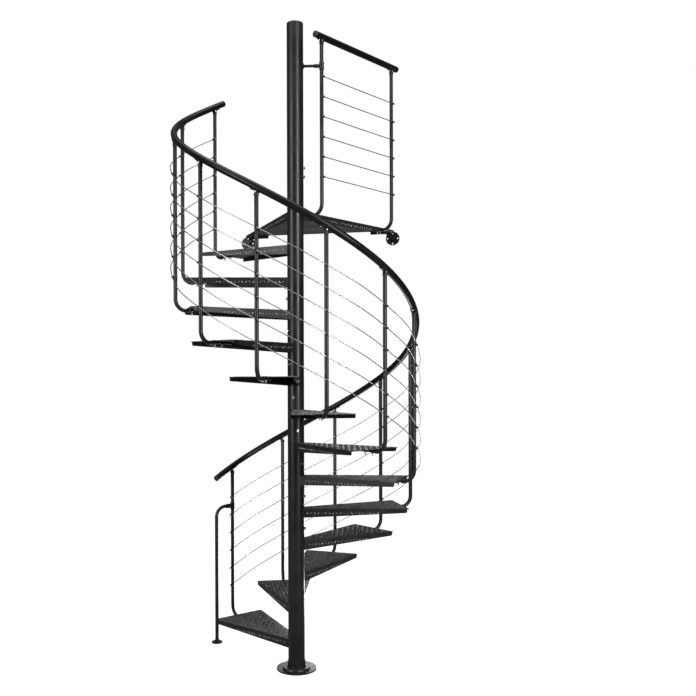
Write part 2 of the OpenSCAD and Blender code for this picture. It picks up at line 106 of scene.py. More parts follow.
@dataclass(frozen=True)
class Plan:
    """The staircase's layout, in metres and degrees.

    The heights are read from the frame; the rest are the staircase's own sizes.
    """

    first_rise: float
    rise: float
    landing_top: float
    pole_r: float
    treads: int = 13
    turn_step: float = 29.1
    first_dir: float = 127.4
    landing_turn: float = 59.6
    hub_gap: float = 3.3 * MM
    tread_reach: float = 712 * MM
    tread_w: float = 400 * MM
    tread_root_w: float = 60 * MM
    landing_reach: float = 836 * MM
    landing_w: float = 1150 * MM
    corner_r: float = 12 * MM
    flange_root: float = 62 * MM
    flange_tip: float = 25 * MM
    post_r: float = 12.5 * MM
    post_circle: float = 781 * MM
    post_top: float = 1031 * MM
    rail_r: float = 21 * MM
    rail_lift: float = 36 * MM
    guard_offset: float = 82 * MM
    guard_inner: float = 84 * MM
    guard_end_inset: float = 156.8 * MM
    guard_post_top: float = 1104 * MM
    guard_rail_lift: float = 34 * MM
    rod_offset: float = 18 * MM
    rods: int = 6

    @classmethod
    def read(cls) -> "Plan":
        """Reads the heights and the pole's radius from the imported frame.

        Returns:
            The plan.
        """
        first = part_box("tread_01")[1].z
        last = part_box(f"tread_{cls.treads:02d}")[1].z
        return cls(
            first_rise=first,
            rise=(last - first) / (cls.treads - 1),
            landing_top=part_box("landing_plate")[1].z,
            pole_r=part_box("pole_tube")[1].x,
        )

    @property
    def hub_r(self) -> float:
        """Radius of the seat of a folded plate, outside."""
        return self.pole_r + self.hub_gap

    @property
    def flight_turn(self) -> float:
        """Turn from the first baluster to the last, in degrees."""
        return self.turn_step * (self.treads - 1)

    @property
    def rail_slope(self) -> float:
        """Slope of the handrail and the rods, in degrees."""
        run = self.post_circle * math.radians(self.turn_step)
        return math.degrees(math.atan2(self.rise, run))

    @property
    def landing_dir(self) -> float:
        """Direction of the landing's centre line, in degrees."""
        return self.first_dir - self.flight_turn - self.landing_turn

    @property
    def tread_sheet(self) -> Sheet:
        """Shape of every tread."""
        return Sheet(self.tread_reach, self.tread_w / 2, self.tread_root_w / 2)

    @property
    def landing_sheet(self) -> Sheet:
        """Shape of the landing."""
        return Sheet(self.landing_reach, self.landing_w / 2, self.hub_r)

    @property
    def guard_outer(self) -> float:
        """Distance along the landing's edge to the outer guard post."""
        return self.landing_sheet.edge - self.guard_end_inset

    def tread(self, k: int) -> Matrix:
        """Frame of tread k: +X runs out along the tread and Z = 0 is its top."""
        height = self.first_rise + self.rise * (k - 1)
        return moved(z=height) @ turned(self.first_dir - self.turn_step * (k - 1))

    def landing(self) -> Matrix:
        """Frame of the landing: +X runs out to its far edge and Z = 0 is its top."""
        return moved(z=self.landing_top) @ turned(self.landing_dir)

    def guard(self, along: float) -> Matrix:
        """Frame on the landing's guarded edge: +X points out across the edge.

        Args:
            along: distance along the edge from the pole.

        Returns:
            The frame, with Z = 0 on the landing's top.
        """
        slope = math.degrees(self.landing_sheet.slope)
        edge = self.landing() @ moved(y=-self.hub_r) @ turned(-slope)
        return edge @ moved(x=along) @ turned(-90)

    def post(self, k: int) -> Matrix:
        """Frame on the axis of baluster k, at its tread's top; +X points outwards."""
        return self.tread(k) @ moved(x=self.post_circle)

    def guard_post(self, along: float) -> Matrix:
        """Frame on the axis of a guard post, at the landing's top; +X points outwards."""
        return self.guard(along) @ moved(x=self.guard_offset)


# ---- Meshes -------------------------------------------------------------------------------


class Shell:
    """A mesh in the making, kept as points and faces."""

    def __init__(self) -> None:
        """Starts an empty mesh."""
        self.points: Ring = []
        self.faces: list[tuple[int, ...]] = []

    def loft(self, rings: Sequence[Ring], closed: bool = False) -> None:
        """Skins a row of rings.

        Args:
            rings: rings with the same number of points each.
            closed: joins the last ring to the first, where False closes both ends with a face.
        """
        start, sides = len(self.points), len(rings[0])
        for ring in rings:
            self.points.extend(ring)
        count = len(rings)
        for i in range(count if closed else count - 1):
            for j in range(sides):
                here, after = start + i * sides, start + (i + 1) % count * sides
                k = (j + 1) % sides
                self.faces.append((here + j, here + k, after + k, after + j))
        if not closed:
            self.faces.append(tuple(reversed(range(start, start + sides))))
            self.faces.append(tuple(start + (count - 1) * sides + j for j in range(sides)))

    def lathe(
        self,
        profile: Sequence[tuple[float, float]],
        sides: int,
        place: Matrix = Matrix(),
        closed: bool = False,
    ) -> None:
        """Turns a profile about the local Z axis.

        Args:
            profile: pairs of radius and height.
            sides: number of facets round the axis.
            place: frame that the turned shape stands in.
            closed: the profile is a loop, as for a ring.
        """
        rings = []
        for radius, height in profile:
            turn = [math.tau * j / sides for j in range(sides)]
            rings.append(
                [place @ Vector((radius * math.cos(t), radius * math.sin(t), height)) for t in turn]
            )
        self.loft(rings, closed)

    def object(self, name: str, edge: float = 35.0) -> bpy.types.Object:
        """Makes the object, smooth except across sharp edges.

        Args:
            name: the piece's name.
            edge: angle in degrees above which an edge stays sharp.

        Returns:
            The object, at the origin.
        """
        mesh = bpy.data.meshes.new(name)
        mesh.from_pydata([tuple(p) for p in self.points], [], self.faces)
        smooth_over(mesh, edge, outward=True)
        return placed(name, mesh)


def placed(name: str, mesh: bpy.types.Mesh) -> bpy.types.Object:
    """Puts a mesh into the scene as an object at the origin."""
    made = bpy.data.objects.new(name, mesh)
    bpy.context.scene.collection.objects.link(made)
    return made


def merged(name: str, parts: Iterable[bpy.types.Mesh]) -> bpy.types.Mesh:
    """Joins meshes into one, and removes them.

    Args:
        name: the joined mesh's name.
        parts: the meshes, which are used up.

    Returns:
        The joined mesh.
    """
    joined = bmesh.new()
    for part in parts:
        joined.from_mesh(part)
        bpy.data.meshes.remove(part)
    mesh = bpy.data.meshes.new(name)
    joined.to_mesh(mesh)
    joined.free()
    return mesh


def smooth_over(mesh: bpy.types.Mesh, edge: float, outward: bool = False) -> None:
    """Shades a mesh smooth, with its sharp edges kept.

    Args:
        mesh: the mesh.
        edge: angle in degrees above which an edge stays sharp.
        outward: turns every face to point out.
    """
    if outward:
        bm = bmesh.new()
        bm.from_mesh(mesh)
        bmesh.ops.recalc_face_normals(bm, faces=bm.faces)
        bm.to_mesh(mesh)
        bm.free()
    mesh.polygons.foreach_set("use_smooth", [True] * len(mesh.polygons))
    mesh.set_sharp_from_angle(angle=math.radians(edge))
    mesh.update()


def oval(width: float, height: float, power: float, sides: int) -> list[tuple[float, float]]:
    """Outline that runs from an ellipse (power 2) to a rounded bar (power 5 or more).

    Args:
        width: half its width.
        height: half its height.
        power: how square it is.
        sides: number of points.

    Returns:
        Pairs of across and up.
    """

    def bent(value: float) -> float:
        """Bends a cosine or sine by the power, with its sign kept."""
        return math.copysign(abs(value) ** (2 / power), value)

    turn = [math.tau * j / sides for j in range(sides)]
    return [(width * bent(math.cos(t)), height * bent(math.sin(t))) for t in turn]


def eased(t: float) -> float:
    """Smooth step from 0 to 1."""
    t = min(1.0, max(0.0, t))
    return t * t * (3 - 2 * t)


class Piece:
    """Dresses finished objects, parents them to their body and logs them."""

    @staticmethod
    def dress(
        made: bpy.types.Object,
        finish: bpy.types.Material,
        slot: Slot,
        stands_for: Iterable[str] = (),
    ) -> None:
        """Gives a piece its finish and body.

        Args:
            made: the piece.
            finish: its material.
            slot: the finish it is made in; not used.
            stands_for: the solids that it takes the place of.
        """
        made.data.materials.clear()
        made.data.materials.append(finish)
        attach(made, BODY)
        names = list(stands_for)
        if names:
            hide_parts(*names)
        LOG.info("%s: %d faces", made.name, len(made.data.polygons))

    @staticmethod
    def coat(node: str, finish: bpy.types.Material) -> None:
        """Puts a finish on a solid whose shape stays.

        Args:
            node: the solid's name.
            finish: its material.
        """
        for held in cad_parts[node].material_slots:
            held.material = finish
        LOG.info("%s: coated", node)


# ---- Node trees for what repeats ----------------------------------------------------------


class Tree:
    """A geometry node tree with named inputs."""

    KINDS = {
        "float": "NodeSocketFloat",
        "int": "NodeSocketInt",
        "vector": "NodeSocketVector",
        "object": "NodeSocketObject",
        "material": "NodeSocketMaterial",
    }

    def __init__(self, name: str, inputs: dict[str, str]) -> None:
        """Starts the tree.

        Args:
            name: the tree's name.
            inputs: the kind of each named input.
        """
        self.tree = bpy.data.node_groups.new(name, "GeometryNodeTree")
        face = self.tree.interface
        face.new_socket("Geometry", in_out="INPUT", socket_type="NodeSocketGeometry")
        for label, kind in inputs.items():
            face.new_socket(label, in_out="INPUT", socket_type=self.KINDS[kind])
        face.new_socket("Geometry", in_out="OUTPUT", socket_type="NodeSocketGeometry")
        self.entry = self.tree.nodes.new("NodeGroupInput")
        self.exit = self.tree.nodes.new("NodeGroupOutput")

    def add(self, kind: str, inputs: dict[Any, Any] | None = None, **settings: Any) -> Any:
        """Adds a node.

        Args:
            kind: the node's type.
            inputs: values or output sockets for its inputs, by name or number.
            settings: its properties.

        Returns:
            The node.
        """
        node = self.tree.nodes.new(kind)
        for label, value in settings.items():
            setattr(node, label, value)
        for label, value in (inputs or {}).items():
            if isinstance(value, bpy.types.NodeSocket):
                self.tree.links.new(value, node.inputs[label])
            else:
                node.inputs[label].default_value = value
        return node

    def math(self, operation: str, *values: Any) -> Any:
        """Adds a math node and returns its output socket."""
        return self.add("ShaderNodeMath", dict(enumerate(values)), operation=operation).outputs[0]

    def close(self, geometry: Any, finish: Any) -> None:
        """Ends the tree in real geometry with its material.

        Args:
            geometry: the output socket of the instances or the mesh.
            finish: the output socket that holds the material.
        """
        real = self.add("GeometryNodeRealizeInstances", {"Geometry": geometry})
        last = self.add(
            "GeometryNodeSetMaterial", {"Geometry": real.outputs[0], "Material": finish}
        )
        self.tree.links.new(last.outputs[0], self.exit.inputs[0])

    def grow(self, seed: bpy.types.Mesh, values: dict[str, Any]) -> bpy.types.Mesh:
        """Runs the tree on a mesh.

        Args:
            seed: the mesh that it starts from.
            values: the named inputs.

        Returns:
            A plain mesh.
        """
        host = placed("host", seed)
        worker = host.modifiers.new("grow", "NODES")
        worker.node_group = self.tree
        for item in self.tree.interface.items_tree:
            if item.in_out == "INPUT" and item.name in values:
                worker[item.identifier] = values[item.name]
        host.update_tag()
        graph = bpy.context.evaluated_depsgraph_get()
        grown = bpy.data.meshes.new_from_object(
            host.evaluated_get(graph), preserve_all_data_layers=True, depsgraph=graph
        )
        host.modifiers.clear()
        bpy.data.objects.remove(host)
        return grown


class StudTree(Tree):
    """Raised studs in alternate directions, on a square lattice over a flat plate.

    A stud is kept where a short ray from above it meets the plate.
    """

    PROBE: float = 0.01
    LEANS: tuple[float, float] = (math.radians(-45), math.radians(90))
    SMALLEST: tuple[float, float, float] = (0.82, 0.80, 0.7)
    LARGEST: tuple[float, float, float] = (1.06, 1.1, 1.1)

    def __init__(self) -> None:
        """Builds the tree."""
        super().__init__(
            "chequer_studs",
            {
                "Pitch": "float",
                "Columns": "int",
                "Rows": "int",
                "Centre": "vector",
                "Clear Radius": "float",
                "Seed": "int",
                "Stud": "object",
                "Finish": "material",
            },
        )
        given = self.entry.outputs
        wide = self.math("MULTIPLY", self.math("SUBTRACT", given["Columns"], 1.0), given["Pitch"])
        deep = self.math("MULTIPLY", self.math("SUBTRACT", given["Rows"], 1.0), given["Pitch"])
        grid = self.add(
            "GeometryNodeMeshGrid",
            {
                "Size X": wide,
                "Size Y": deep,
                "Vertices X": given["Columns"],
                "Vertices Y": given["Rows"],
            },
        )
        placed = self.add(
            "GeometryNodeTransform",
            {"Geometry": grid.outputs["Mesh"], "Translation": given["Centre"]},
        )
        here = self.add("GeometryNodeInputPosition").outputs[0]
        above = self.add(
            "ShaderNodeVectorMath", {0: here, 1: (0.0, 0.0, self.PROBE)}, operation="ADD"
        ).outputs[0]
        struck = self.add(
            "GeometryNodeRaycast",
            {
                "Target Geometry": given["Geometry"],
                "Source Position": above,
                "Ray Direction": (0.0, 0.0, -1.0),
                "Ray Length": 2 * self.PROBE,
            },
        ).outputs["Is Hit"]
        flat = self.add(
            "ShaderNodeVectorMath", {0: here, 1: (1.0, 1.0, 0.0)}, operation="MULTIPLY"
        ).outputs[0]
        reach = self.add("ShaderNodeVectorMath", {0: flat}, operation="LENGTH").outputs["Value"]
        clear = self.math("GREATER_THAN", reach, given["Clear Radius"])
        kept = self.add(
            "FunctionNodeBooleanMath", {0: struck, 1: clear}, operation="AND"
        ).outputs[0]
        points = self.add(
            "GeometryNodeMeshToPoints", {"Mesh": placed.outputs[0], "Selection": kept}
        ).outputs[0]
        step = self.add(
            "ShaderNodeVectorMath", {0: here, 1: given["Centre"]}, operation="SUBTRACT"
        ).outputs[0]
        apart = self.add("ShaderNodeSeparateXYZ", {0: step}).outputs
        column = self.math("ROUND", self.math("DIVIDE", apart[0], given["Pitch"]))
        row = self.math("ROUND", self.math("DIVIDE", apart[1], given["Pitch"]))
        odd = self.math("FLOORED_MODULO", self.math("ADD", column, row), 2.0)
        first, swing = self.LEANS
        lean = self.math("MULTIPLY_ADD", self.math("ROUND", odd), swing, first)
        spin = self.add("ShaderNodeCombineXYZ", {2: lean}).outputs[0]
        aim = self.add("FunctionNodeEulerToRotation", {0: spin}).outputs[0]
        size = self.add(
            "FunctionNodeRandomValue",
            {"Min": self.SMALLEST, "Max": self.LARGEST, "Seed": given["Seed"]},
            data_type="FLOAT_VECTOR",
        ).outputs[0]
        stud = self.add("GeometryNodeObjectInfo", {"Object": given["Stud"]}).outputs["Geometry"]
        studs = self.add(
            "GeometryNodeInstanceOnPoints",
            {"Points": points, "Instance": stud, "Rotation": aim, "Scale": size},
        ).outputs[0]
        self.close(studs, given["Finish"])


class FixingTree(Tree):
    """A copy of one fixing on every point, turned as the point's own angles say."""

    def __init__(self) -> None:
        """Builds the tree."""
        super().__init__("fixings", {"Fixing": "object", "Finish": "material"})
        given = self.entry.outputs
        angles = self.add(
            "GeometryNodeInputNamedAttribute", {"Name": "angles"}, data_type="FLOAT_VECTOR"
        ).outputs[0]
        aim = self.add("FunctionNodeEulerToRotation", {0: angles}).outputs[0]
        fixing = self.add("GeometryNodeObjectInfo", {"Object": given["Fixing"]})
        copies = self.add(
            "GeometryNodeInstanceOnPoints",
            {
                "Points": given["Geometry"],
                "Instance": fixing.outputs["Geometry"],
                "Rotation": aim,
            },
        ).outputs[0]
        self.close(copies, given["Finish"])

    def spread(
        self, name: str, shape: Shell, places: Sequence[Matrix], finish: bpy.types.Material
    ) -> bpy.types.Object:
        """Puts a fixing at every place.

        Args:
            name: the piece's name.
            shape: the fixing's mesh, round its own frame.
            places: the frames to stand it in.
            finish: its material.

        Returns:
            One object with every copy.
        """
        pattern = shape.object(name + "_pattern")
        seed = bpy.data.meshes.new(name + "_seed")
        seed.from_pydata([tuple(place.translation) for place in places], [], [])
        angles = seed.attributes.new("angles", "FLOAT_VECTOR", "POINT")
        for spot, place in zip(angles.data, places):
            spot.vector = place.to_euler()
        mesh = self.grow(seed, {"Fixing": pattern, "Finish": finish})
        bpy.data.objects.remove(pattern)
        mesh.name = name
        return placed(name, mesh)


class HelixTree(Tree):
    """A round bar swept along a climbing turn, which may bow out between its supports."""

    def __init__(self) -> None:
        """Builds the tree."""
        super().__init__(
            "climbing_bar",
            {
                "Radius": "float",
                "Bow": "float",
                "Bow Turn": "float",
                "Start": "float",
                "End": "float",
                "First Direction": "float",
                "Base Height": "float",
                "Climb": "float",
                "Steps": "int",
                "Thickness": "float",
                "Sides": "int",
                "Finish": "material",
            },
        )
        given = self.entry.outputs
        line = self.add("GeometryNodeCurvePrimitiveLine").outputs[0]
        path = self.add("GeometryNodeResampleCurve", {"Curve": line, "Count": given["Steps"]})
        way = self.add("GeometryNodeSplineParameter").outputs["Factor"]
        span = self.math("SUBTRACT", given["End"], given["Start"])
        angle = self.math("MULTIPLY_ADD", span, way, given["Start"])
        swing = self.math("MULTIPLY", self.math("DIVIDE", angle, given["Bow Turn"]), math.tau)
        wave = self.math("MULTIPLY_ADD", self.math("COSINE", swing), -0.5, 0.5)
        radius = self.math("MULTIPLY_ADD", wave, given["Bow"], given["Radius"])
        facing = self.math("SUBTRACT", given["First Direction"], angle)
        spot = self.add(
            "ShaderNodeCombineXYZ",
            {
                0: self.math("MULTIPLY", radius, self.math("COSINE", facing)),
                1: self.math("MULTIPLY", radius, self.math("SINE", facing)),
                2: self.math("MULTIPLY_ADD", angle, given["Climb"], given["Base Height"]),
            },
        ).outputs[0]
        bent = self.add(
            "GeometryNodeSetPosition", {"Geometry": path.outputs[0], "Position": spot}
        ).outputs[0]
        round_bar = self.add(
            "GeometryNodeCurvePrimitiveCircle",
            {"Resolution": given["Sides"], "Radius": given["Thickness"]},
        ).outputs[0]
        bar = self.add(
            "GeometryNodeCurveToMesh",
            {"Curve": bent, "Profile Curve": round_bar, "Fill Caps": True},
        ).outputs[0]
        self.close(bar, given["Finish"])


# ---- Finishes -----------------------------------------------------------------------------


class Paint:
    """A material in the making: a principled shader with patterns in object space."""

    def __init__(self, name: str, **constants: Any) -> None:
        """Starts the material.

        Args:
            name: its name.
            constants: values for the shader's own sockets, with _ for a space.
        """
        self.material = bpy.data.materials.new(name)
        self.material.use_nodes = True
        self.nodes = self.material.node_tree.nodes
        self.links = self.material.node_tree.links
        self.shader = self.nodes["Principled BSDF"]
        for label, value in constants.items():
            self.shader.inputs[label.replace("_", " ")].default_value = value
        self.coord = self.nodes.new("ShaderNodeTexCoord").outputs["Object"]

    def noise(self, scale: float, detail: float = 2.0, stretch: Vector | None = None) -> Any:
        """Noise in object space.

        Args:
            scale: how many features to a metre, about.
            detail: octaves.
            stretch: scale along each axis.

        Returns:
            The socket of the noise.
        """
        coord = self.coord
        if stretch is not None:
            mapping = self.nodes.new("ShaderNodeMapping")
            mapping.inputs["Scale"].default_value = stretch
            self.links.new(coord, mapping.inputs[0])
            coord = mapping.outputs[0]
        node = self.nodes.new("ShaderNodeTexNoise")
        node.inputs["Scale"].default_value = scale
        node.inputs["Detail"].default_value = detail
        self.links.new(coord, node.inputs["Vector"])
        return node.outputs["Fac"]

    def span(self, source: Any, low: float, high: float, start: float = 0.3,
             end: float = 0.7) -> Any:
        """Maps a pattern from start..end to low..high."""
        node = self.nodes.new("ShaderNodeMapRange")
        for label, value in zip(
            ("From Min", "From Max", "To Min", "To Max"), (start, end, low, high)
        ):
            node.inputs[label].default_value = value
        self.links.new(source, node.inputs["Value"])
        return node.outputs["Result"]

    def blend(self, amount: Any, first: Any, second: Any) -> Any:
        """Mixes two colours by a pattern; each is a colour or a socket."""
        node = self.nodes.new("ShaderNodeMix")
        node.data_type = "RGBA"
        self.links.new(amount, node.inputs[0])
        for place, value in ((6, first), (7, second)):
            if isinstance(value, bpy.types.NodeSocket):
                self.links.new(value, node.inputs[place])
            else:
                node.inputs[place].default_value = (*value, 1.0)
        return node.outputs[2]

    def product(self, first: Any, second: Any) -> Any:
        """Multiplies two patterns."""
        node = self.nodes.new("ShaderNodeMath")
        node.operation = "MULTIPLY"
        self.links.new(first, node.inputs[0])
        self.links.new(second, node.inputs[1])
        return node.outputs[0]

    def rubbed(self, radius: float) -> Any:
        """Pattern that is 1 along sharp edges, within a radius."""
        bevel = self.nodes.new("ShaderNodeBevel")
        bevel.samples = 4
        bevel.inputs["Radius"].default_value = radius
        plain = self.nodes.new("ShaderNodeNewGeometry").outputs["Normal"]
        dot = self.nodes.new("ShaderNodeVectorMath")
        dot.operation = "DOT_PRODUCT"
        self.links.new(bevel.outputs[0], dot.inputs[0])
        self.links.new(plain, dot.inputs[1])
        return self.span(dot.outputs["Value"], 1.0, 0.0, 0.72, 0.98)

    def upward(self) -> Any:
        """Pattern that is 1 on faces that look up."""
        normal = self.nodes.new("ShaderNodeNewGeometry").outputs["Normal"]
        apart = self.nodes.new("ShaderNodeSeparateXYZ")
        self.links.new(normal, apart.inputs[0])
        return self.span(apart.outputs[2], 0.0, 1.0, 0.6, 0.95)

    def bump(self, source: Any, depth: float, strength: float = 1.0) -> None:
        """Raises the surface by a pattern, and chains with an earlier call."""
        node = self.nodes.new("ShaderNodeBump")
        node.inputs["Strength"].default_value = strength
        node.inputs["Distance"].default_value = depth
        self.links.new(source, node.inputs["Height"])
        socket = self.shader.inputs["Normal"]
        if socket.is_linked:
            self.links.new(socket.links[0].from_socket, node.inputs["Normal"])
        self.links.new(node.outputs[0], socket)

    def feed(self, label: str, source: Any) -> None:
        """Links a pattern to one of the shader's sockets."""
        self.links.new(source, self.shader.inputs[label])


@dataclass(frozen=True)
class PowderCoat:
    """Satin black powder coat: orange peel, clouds in its gloss, rubbed edges, faint dust."""

    name: str
    tone: float = 0.005
    warm: float = 0.010
    rub: float = 0.10
    gloss: float = 0.30
    matt: float = 0.42
    dust: float = 0.035

    def make(self) -> bpy.types.Material:
        """Builds the material."""
        paint = Paint(self.name, Specular_IOR_Level=0.42, Metallic=0.0)
        clouds = paint.noise(7.0, 5.0)
        base = paint.blend(
            paint.span(clouds, 0.0, 1.0),
            (self.tone, self.tone, self.tone * 1.06),
            (self.warm, self.warm, self.warm * 1.03),
        )
        settled = paint.product(paint.upward(), paint.span(paint.noise(23.0, 6.0), 0.0, 0.5))
        dusty = paint.blend(settled, base, (self.dust, self.dust, self.dust * 0.96))
        chips = paint.product(paint.rubbed(1.6 * MM), paint.span(paint.noise(60.0, 4.0), 0.0, 0.8))
        paint.feed("Base Color", paint.blend(chips, dusty, (self.rub, self.rub, self.rub)))
        paint.feed("Roughness", paint.span(clouds, self.gloss, self.matt, 0.35, 0.65))
        paint.bump(paint.noise(650.0, 2.0), 0.12 * MM, 0.5)
        return paint.material


@dataclass(frozen=True)
class GlintAndWearStuds:
    """Raised studs of a coated plate, worn by feet to steel in random patches; their lighter
    colours are partly that wear and partly a painted glint.
    """

    name: str
    # The studs' own tone is lighter than the plate coat: a painted glint.
    tone: float = 0.04
    worn_and_glint: float = 0.46

    def make(self) -> bpy.types.Material:
        """Builds the material."""
        paint = Paint(self.name, Specular_IOR_Level=0.6)
        # Bright patches in random noise: partly worn steel, partly a painted glint for the light
        # the studs catch.
        wear_and_glint = paint.span(paint.noise(34.0, 5.0), 0.0, 1.0, 0.38, 0.62)
        coat = (self.tone, self.tone, self.tone * 1.04)
        steel = (self.worn_and_glint, self.worn_and_glint, self.worn_and_glint * 1.02)
        paint.feed("Base Color", paint.blend(wear_and_glint, coat, steel))
        paint.feed("Metallic", paint.span(wear_and_glint, 0.0, 0.7, 0.2, 1.0))
        paint.feed("Roughness", paint.span(paint.noise(90.0, 3.0), 0.2, 0.36))
        paint.bump(paint.noise(700.0, 2.0), 0.1 * MM, 0.4)
        return paint.material


@dataclass(frozen=True)
class RailCover:
    """Black moulded rail cover: fine grain, faint streaks where hands run along it."""

    name: str
    tone: float = 0.003
    touched: float = 0.007

    def make(self) -> bpy.types.Material:
        """Builds the material."""
        paint = Paint(self.name, Specular_IOR_Level=0.2)
        streak = paint.noise(5.0, 6.0)
        paint.feed(
            "Base Color",
            paint.blend(
                paint.span(streak, 0.0, 1.0), (self.tone,) * 3, (self.touched,) * 3
            ),
        )
        paint.feed("Roughness", paint.span(streak, 0.24, 0.38, 0.35, 0.65))
        paint.bump(paint.noise(1500.0, 2.0), 0.06 * MM, 0.35)
        return paint.material


@dataclass(frozen=True)
class DrawnSteel:
    """Bright steel with fine drawing lines and faint dull patches."""

    name: str
    tone: float = 0.42
    dull: float = 0.30
    gloss: float = 0.24
    matt: float = 0.38

    def make(self) -> bpy.types.Material:
        """Builds the material."""
        paint = Paint(self.name, Metallic=1.0)
        patches = paint.noise(16.0, 5.0)
        paint.feed(
            "Base Color",
            paint.blend(
                paint.span(patches, 0.0, 1.0),
                (self.tone, self.tone, self.tone * 1.02),
                (self.dull, self.dull, self.dull * 1.03),
            ),
        )
        paint.feed("Roughness", paint.span(patches, self.gloss, self.matt))
        lines = paint.noise(160.0, 3.0, Vector((9.0, 9.0, 1.0)))
        paint.bump(lines, 0.04 * MM, 0.3)
        return paint.material


@dataclass(frozen=True)
class MattPlastic:
    """Matt moulded plastic with a fine spark-eroded grain."""

    name: str
    tone: float = 0.016

    def make(self) -> bpy.types.Material:
        """Builds the material."""
        paint = Paint(self.name, Specular_IOR_Level=0.4)
        clouds = paint.noise(30.0, 4.0)
        paint.feed(
            "Base Color",
            paint.blend(
                paint.span(clouds, 0.0, 1.0), (self.tone,) * 3, (self.tone * 1.7,) * 3
            ),
        )
        paint.feed("Roughness", paint.span(clouds, 0.42, 0.55))
        paint.bump(paint.noise(2200.0, 2.0), 0.05 * MM, 0.5)
        return paint.material


@dataclass(frozen=True)
class Paper:
    """Pale studio paper with a faint mottle, bright to the camera and dull as a reflector."""

    name: str
    glow: float = 1.0
    bounce: float = 0.03

    def make(self) -> bpy.types.Material:
        """Builds the material."""
        paint = Paint(self.name, Specular_IOR_Level=0.2)
        mottle = paint.noise(3.0, 4.0)
        patches = paint.span(mottle, 0.0, 1.0)
        paint.feed("Base Color", paint.blend(patches, (0.26,) * 3, (0.30,) * 3))
        paint.feed("Emission Color", paint.blend(patches, (0.97,) * 3, (0.99,) * 3))
        seen = paint.nodes.new("ShaderNodeLightPath").outputs["Is Camera Ray"]
        paint.feed("Emission Strength", paint.span(seen, self.bounce, self.glow, 0.0, 1.0))
        paint.feed("Roughness", paint.span(mottle, 0.85, 0.95))
        return paint.material


@dataclass
class Finishes:
    """Every finish on the staircase."""

    coat: bpy.types.Material = field(default_factory=lambda: PowderCoat("satin_black_coat").make())
    plate: bpy.types.Material = field(
        default_factory=lambda: PowderCoat(
            "plate_coat", tone=0.009, warm=0.016, rub=0.12, gloss=0.34, matt=0.47, dust=0.055
        ).make()
    )
    # The studs' finish holds a painted glint as well as wear.
    studs: bpy.types.Material = field(default_factory=lambda: GlintAndWearStuds("studs_wear_and_glint").make())
    rail: bpy.types.Material = field(default_factory=lambda: RailCover("moulded_rail").make())
    rod: bpy.types.Material = field(default_factory=lambda: DrawnSteel("drawn_rod").make())
    bolt: bpy.types.Material = field(
        default_factory=lambda: DrawnSteel(
            "bright_bolt", tone=0.58, dull=0.44, gloss=0.2, matt=0.34
        ).make()
    )
    cap: bpy.types.Material = field(default_factory=lambda: MattPlastic("matt_cap").make())


# ---- The sub-assemblies -------------------------------------------------------------------


@dataclass
class Kit:
    """What every sub-assembly builds with."""

    plan: Plan
    finishes: Finishes
    fixings: FixingTree
    helix: HelixTree

    def fix(self, name: str, shape: Shell, places: Sequence[Matrix],
            finish: bpy.types.Material, slot: Slot, stands_for: Iterable[str] = ()) -> None:
        """Puts a fixing at every place, and dresses the copies as one piece.

        Args:
            name: the piece's name.
            shape: the fixing's mesh, round its own frame.
            places: the frames to stand it in.
            finish: its material.
            slot: the finish it is made in.
            stands_for: the solids that it takes the place of.
        """
        Piece.dress(self.fixings.spread(name, shape, places, finish), finish, slot, stands_for)


